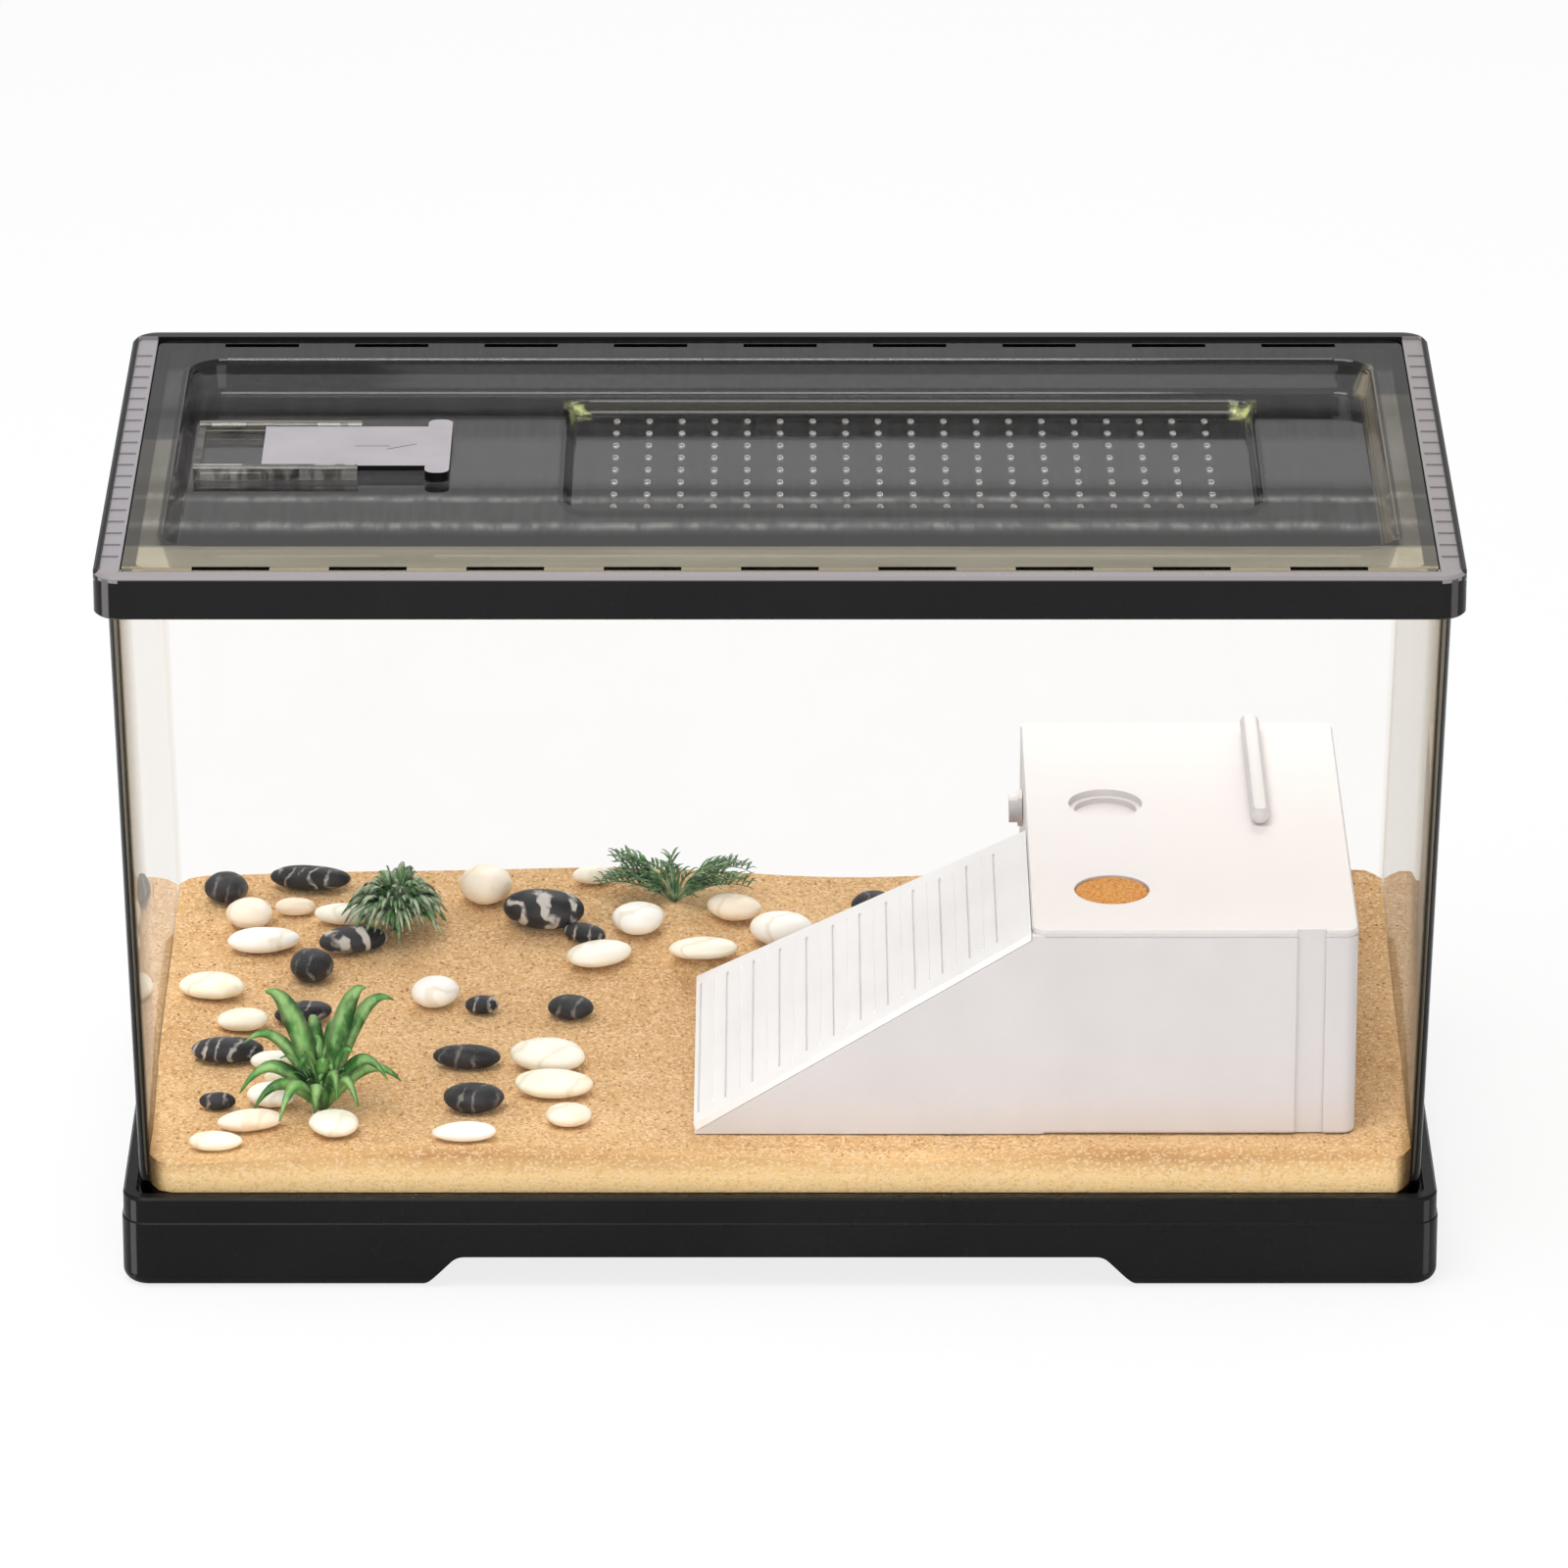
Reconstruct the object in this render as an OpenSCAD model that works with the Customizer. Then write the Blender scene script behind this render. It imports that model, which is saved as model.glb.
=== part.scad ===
// Furnished turtle tank: clear shell in a black base and top frame, smoky vented lid with a sliding
// feeding hatch, white basking platform with a ramp and a filter pump, sand, pebbles and plants.
// Millimetres. The origin is on the table under the middle of the tank, +X right, -Y front, +Z up.

/* [Overall] */
// Width of the black top frame, the widest piece
frame_w = 600; // [600:5:700]
// Depth of the black top frame
frame_d = 320; // [320:5:380]
// Height from the table to the rim of the top frame
total_h = 343; // [313:5:443]

/* [Base tray] */
// Height of the base tray
base_h = 43.5; // [41:0.5:50]
// How far the top frame overhangs the base tray on each side
base_inset = 5; // [4:1:6]
// Wall of the base tray
base_wall = 2.5; // [2:0.25:2.75]
// Upright corner radius of the base tray
base_corner = 12; // [11:1:16]
// Radius that rolls the side under into the feet
foot_round = 6; // [5:0.5:10]
// Width of the flat sole inside the rolled edge
foot_sole = 4; // [2:0.5:6]
// Height of the deck that carries the tank
deck_z = 38; // [34:1:40]
// Length of the gap between the feet along the floor
foot_gap = 320; // [240:5:360]
// Height of the gap between the feet
foot_gap_h = 15; // [8:1:17]
// Length of the slope at each end of the gap
foot_gap_slope = 15; // [12:1:30]
// Height of the faint crease round the side
crease_z = 31; // [26:1:34]
// Depth of the stiffening ribs under the deck
under_rib_h = 10; // [6:1:16]

/* [Clear tank] */
// Thickness of the clear wall
tank_wall = 3.5; // [3:0.25:4.5]
// How far each wall leans in from the rim to the foot
tank_lean = 8; // [4:0.5:9]
// Upright corner radius of the tank at its foot
tank_corner = 10; // [8:1:14]
// How far the top frame stands out past the tank's rim on each side
rim_overhang = 5; // [4:0.5:6]
// Depth of the tank's rim below the top of the frame
rim_drop = 6; // [6:0.5:9]

/* [Top frame] */
// Height of the black band
band_h = 20; // [18:1:30]
// Wall of the band
band_wall = 2.5; // [2:0.25:3]
// Width of the flat rim along the front and the back
rim_w = 7.5; // [6:0.5:9]
// Upright corner radius of the band
band_corner = 12; // [10:1:16]
// Width of the ledge that carries the lid, from the outside of the band
ledge_w = 18; // [17:0.5:22]
// Thickness of the ledge
ledge_t = 2; // [1.5:0.25:2.5]
// Depth of the lip that reaches down inside the tank
inner_lip_h = 8; // [5:1:12]
// Width of the ribbed strip at each end
end_strip_w = 9; // [7:0.5:10]
// Ribs on each end strip
end_ribs = 19; // [9:2:25]
// Distance between the ribs
end_rib_pitch = 14.5; // [8:0.5:14.5]

/* [Lid] */
// Thickness of the lid
lid_t = 2.4; // [2:0.2:3]
// Width of the lid's flat border along the front
lid_border_front = 34; // [32:1:42]
// Width of the lid's flat border along the back
lid_border_back = 25; // [22:1:32]
// Width of the lid's flat border at each end
lid_border_end = 15; // [14.5:0.5:18]
// Depth of the lid's sunken middle
sink_depth = 15; // [12:1:18]
// Corner radius of the sunken middle
sink_corner = 17; // [14:1:22]
// Length of a slot in the lid's border
slot_l = 34; // [20:1:40]
// Width of a slot in the lid's border
slot_w = 4.5; // [3:0.5:6]
// Slots along each long border
slots = 9; // [5:2:9]
// Distance between the slots
slot_pitch = 60; // [45:1:62]

/* [Vent panel] */
// Width of the sunken vent panel
vent_w = 316; // [300:2:330]
// Depth, front to back, of the sunken vent panel
vent_d = 142; // [132:2:150]
// How far the vent panel lies below the lid's middle
vent_depth = 5; // [3:0.5:8]
// Diameter of a vent hole
vent_hole = 2.6; // [1.5:0.1:4]
// Columns of vent holes
vent_cols = 19; // [9:2:19]
// Rows of vent holes
vent_rows = 8; // [4:1:8]
// Distance between columns
vent_pitch_x = 15; // [8:0.5:15]
// Distance between rows
vent_pitch_y = 16; // [8:0.5:16]

/* [Feeding hatch] */
// Length of the guide that the hatch cover slides in
guide_l = 74; // [70:1:78]
// Width of the guide, outside to outside
guide_w = 62; // [56:1:66]
// Height of the guide's rails
guide_h = 6; // [5:0.5:8]
// Width of a rail
rail_w = 5; // [4.5:0.25:6]
// Length of the hatch cover with its thumb grip
hatch_l = 85; // [82:1:88]
// Thickness of the hatch cover
hatch_t = 4.5; // [4:0.25:6]
// Length of the thumb grip
grip_l = 11; // [8:1:14]
// Width of the thumb grip
grip_w = 70; // [66:1:76]
// Free run of the cover between the rails, to the left of its place over the feeding hole
hatch_run = 27; // [20:1:30]
// Length of the feeding hole under the cover
hatch_hole_l = 34; // [24:1:36]

/* [Basking platform] */
// Width of the platform
plat_w = 146; // [140:1:150]
// Height of the platform with its cover
plat_h = 99; // [90:1:115]
// Wall of the platform box
plat_wall = 2.5; // [2:0.25:3]
// Upright corner radius of the platform
plat_corner = 6; // [4:1:8]
// Thickness of the platform's cover
cover_t = 2.6; // [2:0.2:3.5]
// Gap between the platform and the right wall of the tank
plat_side_gap = 25; // [20:1:30]
// Gap between the platform and the front wall of the tank
plat_front_gap = 25.5; // [22:0.5:28]
// Gap between the platform and the back wall of the tank
plat_back_gap = 9.5; // [8:0.5:20]
// Diameter of a feeding dish
dish = 34; // [28:1:38]
// Depth of a feeding dish
dish_depth = 6; // [4:0.5:8]
// Distance of the dishes' middle from the platform's left side
dish_side = 37; // [32:1:44]
// Distance of the front dish's middle from the platform's front
dish_front = 48; // [40:1:56]
// Distance between the two dishes
dish_pitch = 103; // [90:1:106]
// Width of the upright groove in the platform's front
groove_w = 13; // [8:1:16]
// Depth of the upright groove
groove_depth = 2; // [1:0.25:2.25]
// Distance of the groove from the platform's right side
groove_side = 14.5; // [12:0.5:20]

/* [Ramp] */
// How far the ramp reaches to the left of the platform
ramp_reach = 151; // [140:1:155]
// Width of the ramp at its top
ramp_top_w = 121; // [110:1:130]
// Width of the ramp at its foot
ramp_foot_w = 170; // [140:2:176]
// Thickness of the ramp board
ramp_t = 3; // [2:0.25:4]
// Slits across the ramp board
slits = 12; // [6:1:12]
// Width of a slit
slit_w = 1.4; // [1:0.1:2.5]
// Height of the grip ridges between the slits
ridge_h = 0.6; // [0.4:0.1:1.2]

/* [Filter and pump] */
// Diameter of the tube that lies on the platform
top_tube_dia = 9; // [8:0.5:12]
// Length of the tube that lies on the platform
top_tube_l = 121; // [110:1:130]
// Distance of that tube's middle from the platform's left side
top_tube_side = 107; // [90:1:120]
// Distance of that tube's end from the platform's back
top_tube_back = 9; // [5:0.5:15]
// Outside diameter of the pump's outlet pipe
pipe_dia = 12; // [10:0.5:14]
// Bore of the pump's outlet pipe
pipe_bore = 8; // [5:0.5:9]
// Radius of the bend in the outlet pipe
pipe_bend = 10; // [8:0.5:14]
// Distance of the spout and the pump from the platform's back
spout_back = 60; // [50:1:66]
// Distance of the pump's middle from the platform's left side
pump_side = 56; // [46:1:70]
// Width of the pump
pump_w = 42; // [36:1:50]
// Depth of the pump, front to back
pump_d = 50; // [40:1:54]
// Height of the pump
pump_h = 44; // [36:1:50]
// Depth of the pump's grille, front to back
grille_d = 10; // [6:0.5:14]
// Free space between the filter sponge and the pump's grille
sponge_gap = 36.5; // [15:0.5:50]
// Height of the filter sponge
sponge_h = 60; // [45:1:75]

/* [Sand] */
// Height of the sand at the front wall
sand_front_z = 59; // [55:1:60]
// Height of the sand at the back wall
sand_back_z = 78; // [70:1:80]
// Height of the levelled sand under the platform
sand_level_z = 59; // [57:0.5:61]
// How late the sand banks up toward the back wall
sand_bank = 2.4; // [1.5:0.1:3]

/* [Hidden] */
$fn = 48;

black = [0.06, 0.06, 0.065];
clear = [0.80, 0.76, 0.70, 0.35];
smoke = [0.30, 0.29, 0.30, 0.6];
white = [0.93, 0.92, 0.91];

// Clearances: between pieces that are fitted together, and under pieces that lie on others
fit_gap = 0.4;
seat_gap = 0.3;

base_w = frame_w - 2 * base_inset;
base_d = frame_d - 2 * base_inset;
rim_z = total_h - rim_drop;
tank_top_w = frame_w - 2 * rim_overhang;
tank_top_d = frame_d - 2 * rim_overhang;
tank_w = tank_top_w - 2 * tank_lean;
tank_d = tank_top_d - 2 * tank_lean;
floor_z = deck_z + tank_wall;
inner_w = tank_w - 2 * tank_wall;
inner_d = tank_d - 2 * tank_wall;
wall_slope = tank_lean / (rim_z - deck_z);

seat_z = rim_z + ledge_t;
lid_top = seat_z + lid_t;
lid_gap = 0.7;
lid_w = frame_w - 2 * (band_wall + end_strip_w + lid_gap);
lid_d = frame_d - 2 * (rim_w + lid_gap);
lid_corner = 8;

sink_w = lid_w - 2 * lid_border_end;
sink_d = lid_d - lid_border_front - lid_border_back;
sink_y = (lid_border_front - lid_border_back) / 2;
sink_z = lid_top - sink_depth;
wall_run = 6;
vent_end_gap = 55;
vent_shift = 37.5;
vent_x = sink_w / 2 - vent_end_gap - vent_w / 2;
vent_y = sink_y + vent_shift;
vent_z = sink_z - vent_depth;

guide_x = wall_run + 2 - sink_w / 2;
guide_shift = 33.5;
guide_y = sink_y + guide_shift;
end_bar_w = 3;
tongue_w = 2.4;
tongue_t = 1.8;
tongue_l = guide_l - end_bar_w - fit_gap - hatch_run - 1;
hatch_x = guide_x + end_bar_w + fit_gap + hatch_run;
hatch_w = guide_w - 2 * rail_w - 2 * fit_gap;
hatch_lap = 3;

plat_x = inner_w / 2 - plat_side_gap - plat_w;
plat_y = plat_front_gap - inner_d / 2;
plat_d = inner_d - plat_front_gap - plat_back_gap;
plat_z = sand_level_z + seat_gap;
cover_z = plat_z + plat_h - cover_t;
plat_top = plat_z + plat_h;
bottom_round = 1.5;
cup_wall = 1.8;
dish_x = plat_x + dish_side;
dish_front_y = plat_y + dish_front;
dish_back_y = dish_front_y + dish_pitch;
groove_x = plat_x + plat_w - groove_side - groove_w;

foot_x = plat_x - ramp_reach;
ramp_h = plat_h - cover_t - ramp_t;
ramp_angle = atan(ramp_h / ramp_reach);
ramp_l = norm([ramp_h, ramp_reach]);
wedge_toe = 0.8;

level_margin = 3;
spout_y = plat_y + plat_d - spout_back;
spout_z = plat_top - pipe_dia / 2 - 13;
pump_x = plat_x + pump_side;
pump_y = spout_y;
pump_z = plat_z + plat_wall;
grille_y = pump_y - pump_d / 2 - grille_d;

// The open ground that pebbles and plants are set out on: from the left wall to the ramp's foot, and in
// front of and behind the ramp's back corner. Their rows give places on a ground of the layout's size.
layout_w = 245;
layout_front = 195.5;
layout_back = 91.5;
corner_y = plat_y + ramp_foot_w;
share_w = (foot_x + inner_w / 2) / layout_w;
share_front = (corner_y + inner_d / 2) / layout_front;
share_back = (inner_d / 2 - corner_y) / layout_back;

// Eases from 0 to 1 with level ends
function ease(t) = t <= 0 ? 0 : t >= 1 ? 1 : t * t * (3 - 2 * t);

// Points of an arc about a centre, from one angle to another
function arc_points(centre, r, from, to, steps) =
    [for (i = [0:steps]) centre + r * [cos(from + (to - from) * i / steps), sin(from + (to - from) * i / steps)]];

// Points of a soft step that climbs from one height to another
function step_points(x0, x1, z0, z1, steps) =
    [for (i = [0:steps]) [x0 + (x1 - x0) * i / steps, z0 + (z1 - z0) * ease(i / steps)]];

// Points in the opposite order
function reversed(points) = [for (i = [len(points) - 1:-1:0]) points[i]];

// A flat rectangle with round corners
module rounded_rect(w, d, r) {
    square([w, d - 2 * r], center = true);
    square([w - 2 * r, d], center = true);
    for (x = [-1, 1], y = [-1, 1])
        translate([x * (w / 2 - r), y * (d / 2 - r)]) circle(r);
}

// Sweeps an upright section round a rounded rectangle; its X runs outward from the corner centres
module swept_frame(w, d, r) {
    run_x = w - 2 * r;
    run_y = d - 2 * r;
    for (side = [0, 1]) {
        mirror([0, side, 0]) translate([-run_x / 2, run_y / 2, 0])
            rotate([90, 0, 90]) linear_extrude(run_x) children();
        mirror([side, 0, 0]) translate([run_x / 2, run_y / 2, 0])
            rotate([90, 0, 0]) linear_extrude(run_y) children();
        for (end = [0, 1])
            mirror([side, 0, 0]) mirror([0, end, 0]) translate([run_x / 2, run_y / 2, 0])
                rotate_extrude(angle = 90) children();
    }
}

// A block centred in X and Y that stands on a height
module slab(w, d, z, t) {
    translate([-w / 2, -d / 2, z]) cube([w, d, t]);
}

// Base tray
module base_section() {
    r = base_corner;
    lip_gap = 1.6;
    lip_w = (base_w - tank_w) / 2 - lip_gap;
    inset = 0.6;
    upper = r - inset;
    pocket_z = base_h - base_wall;
    roll = [r - foot_round, foot_round];
    sole = max(r - foot_round - foot_sole, 0);
    polygon(concat(
        [[sole, base_wall], [sole, 0]],
        arc_points(roll, foot_round, -90, 0, 6),
        [[r, crease_z], [upper, crease_z + inset], [upper, base_h - 1], [upper - 1, base_h],
         [r - lip_w, base_h], [r - lip_w, deck_z], [0, deck_z], [0, deck_z - base_wall],
         [r - lip_w + base_wall, deck_z - base_wall], [r - lip_w + base_wall, pocket_z],
         [upper - base_wall, pocket_z], [upper - base_wall, crease_z]],
        reversed(arc_points(roll, foot_round - base_wall, -90, 0, 6))));
}

// Outline of the gap between the feet, with rounded bends
module foot_gap_outline() {
    half = foot_gap / 2;
    bend = 8;
    angle = atan(foot_gap_h / foot_gap_slope);
    tuck = bend * tan(angle / 2);
    right = concat(
        [[half + tuck + bend, -1]],
        arc_points([half + tuck, bend], bend, -90 - angle / 4, -90 - angle, 3),
        arc_points([half - foot_gap_slope - tuck, foot_gap_h - bend], bend, 90 - angle, 90, 4));
    polygon(concat(right, reversed([for (p = right) [-p[0], p[1]]])));
}

// A stiffening rib that runs into the deck above it and into the side walls
module under_rib(w, d) {
    slab(w, d, deck_z - base_wall - under_rib_h, under_rib_h + base_wall / 2);
}

module base_tray() {
    color(black) difference() {
        union() {
            swept_frame(base_w, base_d, base_corner) base_section();
            slab(base_w - 2 * base_corner, base_d - 2 * base_corner, deck_z - base_wall, base_wall);
            for (x = [-1:1])
                translate([x * base_w / 4, 0, 0]) under_rib(base_wall, base_d - base_wall);
            under_rib(base_w - base_wall, base_wall);
        }
        translate([0, base_d, 0]) rotate([90, 0, 0]) linear_extrude(2 * base_d) foot_gap_outline();
    }
}

// Clear tank
module tank_section() {
    r = tank_corner;
    roll = 4;
    top = r + tank_lean;
    inner_foot = r - tank_wall + wall_slope * tank_wall;
    polygon(concat(
        [[0, deck_z]],
        arc_points([r - roll, deck_z + roll], roll, -90, 0, 4),
        [[top, rim_z], [top - tank_wall, rim_z], [inner_foot, floor_z], [0, floor_z]]));
}

module tank_body() {
    color(clear) {
        swept_frame(tank_w, tank_d, tank_corner) tank_section();
        slab(tank_w - 2 * tank_corner, tank_d - 2 * tank_corner, deck_z, tank_wall);
    }
}

// Top frame
module band_section() {
    r = band_corner;
    bevel = 1.2;
    polygon([[r - band_wall, total_h - band_h], [r - 0.8, total_h - band_h], [r, total_h - band_h + 0.8],
             [r, total_h - bevel], [r - bevel, total_h], [r - band_wall, total_h]]);
}

module top_frame() {
    inner_band_w = frame_w - 2 * band_wall;
    inner_band_d = frame_d - 2 * band_wall;
    inner_band_r = band_corner - band_wall;
    lip_w = tank_top_w - 2 * (tank_wall + fit_gap);
    lip_d = tank_top_d - 2 * (tank_wall + fit_gap);
    lip_t = 2;
    lip_r = tank_corner + tank_lean - tank_wall - fit_gap;
    bar_w = rim_w - band_wall + 0.5;
    color(black) {
        swept_frame(frame_w, frame_d, band_corner) band_section();
        translate([0, 0, rim_z]) linear_extrude(ledge_t) difference() {
            rounded_rect(inner_band_w + 1, inner_band_d + 1, inner_band_r + 0.5);
            rounded_rect(frame_w - 2 * ledge_w, frame_d - 2 * ledge_w, 6);
        }
        translate([0, 0, rim_z - inner_lip_h]) linear_extrude(inner_lip_h + 1) difference() {
            rounded_rect(lip_w, lip_d, lip_r);
            rounded_rect(lip_w - 2 * lip_t, lip_d - 2 * lip_t, lip_r - lip_t);
        }
        translate([0, 0, seat_z - 1]) linear_extrude(lid_t + 1) intersection() {
            rounded_rect(inner_band_w + 1, inner_band_d + 1, inner_band_r + 0.5);
            for (side = [-1, 1])
                translate([side * (frame_w / 2 - band_wall - end_strip_w / 2 + 0.5), 0])
                    square([end_strip_w + 1, frame_d], center = true);
        }
        translate([0, 0, seat_z - 1]) linear_extrude(total_h - seat_z + 1) intersection() {
            rounded_rect(inner_band_w + 1, inner_band_d + 1, inner_band_r + 0.5);
            for (side = [-1, 1])
                translate([0, side * (frame_d / 2 - rim_w + bar_w / 2)])
                    square([frame_w, bar_w], center = true);
        }
        end_strip_ribs();
    }
}

module end_strip_ribs() {
    rib_w = 1.3;
    rib_h = 0.8;
    rib_l = end_strip_w - 2;
    for (side = [-1, 1], i = [0:end_ribs - 1])
        translate([side * (frame_w / 2 - band_wall - rib_l / 2 - 0.5),
                   (i - (end_ribs - 1) / 2) * end_rib_pitch, 0])
            slab(rib_l, rib_w, lid_top - 0.5, rib_h + 0.5);
}

// Lid
module sink_section(r, run, z_low, z_high) {
    shift = lid_t * 0.8;
    polygon(concat(
        step_points(r - run, r, z_low, z_high, 8),
        reversed(step_points(r - run + shift, r + shift, z_low - lid_t, z_high - lid_t, 8))));
}

module vent_outline(grow) {
    translate([vent_x, vent_y]) rounded_rect(vent_w + 2 * grow, vent_d + 2 * grow, 12 + grow);
}

module slot_row() {
    for (i = [0:slots - 1])
        translate([(i - (slots - 1) / 2) * slot_pitch, 0])
            square([slot_l, slot_w], center = true);
}

module lid_panel() {
    vent_run = 5;
    slot_edge = 4.5;
    color(smoke) {
        translate([0, 0, seat_z]) linear_extrude(lid_t) difference() {
            rounded_rect(lid_w, lid_d, lid_corner);
            translate([0, sink_y]) rounded_rect(sink_w, sink_d, sink_corner);
            for (side = [-1, 1])
                translate([0, side * (lid_d / 2 - slot_edge - slot_w / 2)]) slot_row();
        }
        translate([0, sink_y, 0]) swept_frame(sink_w, sink_d, sink_corner)
            sink_section(sink_corner, wall_run, sink_z, lid_top);
        translate([0, 0, sink_z - lid_t]) linear_extrude(lid_t) difference() {
            translate([0, sink_y])
                rounded_rect(sink_w - 2 * wall_run + 2, sink_d - 2 * wall_run + 2, sink_corner - wall_run + 1);
            vent_outline(0);
            translate([hatch_x + hatch_lap + hatch_hole_l / 2, guide_y])
                rounded_rect(hatch_hole_l, hatch_w - 2 * hatch_lap, 3);
        }
        translate([vent_x, vent_y, 0]) swept_frame(vent_w, vent_d, 12)
            sink_section(12, vent_run, vent_z, sink_z);
        translate([0, 0, vent_z - lid_t]) linear_extrude(lid_t) difference() {
            vent_outline(1 - vent_run);
            vent_holes();
        }
    }
}

module vent_holes() {
    for (i = [0:vent_cols - 1], j = [0:vent_rows - 1])
        translate([vent_x + (i - (vent_cols - 1) / 2) * vent_pitch_x,
                   vent_y + (j - (vent_rows - 1) / 2) * vent_pitch_y])
            circle(d = vent_hole);
}

// Feeding hatch
module rail_section() {
    web = rail_w - tongue_w - fit_gap;
    roof_z = seat_gap + tongue_t + seat_gap;
    polygon([[0, 0], [web, 0], [web, roof_z], [rail_w, roof_z], [rail_w, guide_h - 0.8],
             [rail_w - 0.8, guide_h], [0.8, guide_h], [0, guide_h - 0.8]]);
}

module hatch_guide() {
    color([0.85, 0.83, 0.78, 0.5]) translate([guide_x, guide_y, sink_z]) {
        for (side = [0, 1])
            mirror([0, side, 0]) translate([0, -guide_w / 2, 0])
                rotate([90, 0, 90]) linear_extrude(guide_l) rail_section();
        translate([0, -guide_w / 2 + 1, 0]) cube([end_bar_w, guide_w - 2, guide_h - 1]);
    }
}

// The cover runs on tongues in the rails, is raised past them, and ends in a wider grip on the lid
module hatch_cover() {
    raise = tongue_t + 0.2;
    color([0.76, 0.75, 0.77]) translate([hatch_x, guide_y, sink_z + seat_gap]) {
        translate([tongue_l / 2, 0, 0]) slab(tongue_l, hatch_w + 2 * tongue_w, 0, tongue_t);
        translate([(tongue_l + 1) / 2, 0, 0]) slab(tongue_l + 1, hatch_w, 0, hatch_t);
        translate([hatch_l / 2 - 1, 0, 0]) slab(hatch_l - 2, hatch_w, raise, hatch_t - raise);
        translate([hatch_l - grip_l / 2, 0, 0]) linear_extrude(hatch_t) rounded_rect(grip_l, grip_w, 4.5);
    }
}

// Basking platform
module box_section() {
    r = plat_corner;
    relief = 0.8;
    top = cover_z;
    polygon(concat(
        [[0, plat_z]],
        arc_points([r - bottom_round, plat_z + bottom_round], bottom_round, -90, 0, 4),
        [[r, top - relief], [r - relief, top - relief], [r - relief, top], [r - plat_wall, top],
         [r - plat_wall, plat_z + plat_wall], [0, plat_z + plat_wall]]));
}

// Plan of the ramp, grown by a margin; its back edge spreads toward the foot
module ramp_plan(margin) {
    spread = (ramp_foot_w - ramp_top_w) / ramp_reach;
    polygon([[foot_x - margin, plat_y - margin], [plat_x + plat_corner, plat_y - margin],
             [plat_x + plat_corner, plat_y + ramp_top_w + margin],
             [plat_x, plat_y + ramp_top_w + margin],
             [foot_x - margin, plat_y + ramp_foot_w + margin * (1 + spread)]]);
}

// Side view of the ramp's wedge and of the fill that squares the box's corners behind the board
module wedge_side() {
    polygon([[foot_x, plat_z], [plat_x + plat_corner, plat_z], [plat_x + plat_corner, cover_z],
             [plat_x, cover_z], [plat_x, plat_z + wedge_toe + ramp_h], [foot_x, plat_z + wedge_toe]]);
}

module upright_prism(y0, length) {
    translate([0, y0 + length, 0]) rotate([90, 0, 0]) linear_extrude(length) children();
}

module wedge() {
    intersection() {
        upright_prism(plat_y, plat_d) wedge_side();
        translate([0, 0, plat_z]) linear_extrude(plat_h) ramp_plan(0);
    }
}

module wedge_hollow() {
    intersection() {
        translate([0, 0, wedge_toe - plat_wall / cos(ramp_angle)])
            upright_prism(plat_y, plat_d)
                polygon([[foot_x, plat_z], [plat_x, plat_z], [plat_x, plat_z + ramp_h]]);
        translate([0, 0, plat_z - 10]) linear_extrude(plat_h) ramp_plan(-plat_wall);
        translate([foot_x, plat_y, plat_z - 10]) cube([ramp_reach, plat_d, plat_h]);
    }
}

module box_hollow() {
    translate([plat_x + plat_w / 2, plat_y + plat_d / 2, plat_z + plat_wall])
        linear_extrude(plat_h)
            rounded_rect(plat_w - 2 * plat_wall, plat_d - 2 * plat_wall, plat_corner - plat_wall);
}

module platform_box() {
    color(white) difference() {
        union() {
            translate([plat_x + plat_w / 2, plat_y + plat_d / 2, 0]) {
                swept_frame(plat_w, plat_d, plat_corner) box_section();
                slab(plat_w - 2 * plat_corner, plat_d - 2 * plat_corner, plat_z, plat_wall);
            }
            difference() {
                wedge();
                box_hollow();
            }
            translate([groove_x - plat_wall, plat_y + groove_depth, plat_z + bottom_round])
                cube([groove_w + 2 * plat_wall, plat_wall, plat_h - cover_t - bottom_round]);
        }
        wedge_hollow();
        translate([groove_x, plat_y - 1, plat_z - 1]) cube([groove_w, groove_depth + 1, plat_h]);
        translate([plat_x - 1, spout_y, spout_z]) rotate([0, 90, 0])
            cylinder(d = pipe_dia + 2 * seat_gap, h = plat_wall + 2);
        intake_slots();
    }
}

// Water enters the filter through slots low in the back wall
module intake_slots() {
    count = 9;
    for (i = [0:count - 1])
        translate([plat_x + 24 + i * 12, plat_y + plat_d - plat_wall - 1, plat_z + 14])
            cube([4, plat_wall + 2, 34]);
}

module cover_section() {
    r = plat_corner;
    bevel = 0.8;
    polygon([[0, cover_z], [r, cover_z], [r, plat_top - bevel], [r - bevel, plat_top], [0, plat_top]]);
}

module dish_places() {
    for (y = [dish_front_y, dish_back_y])
        translate([dish_x, y, 0]) children();
}

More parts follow.
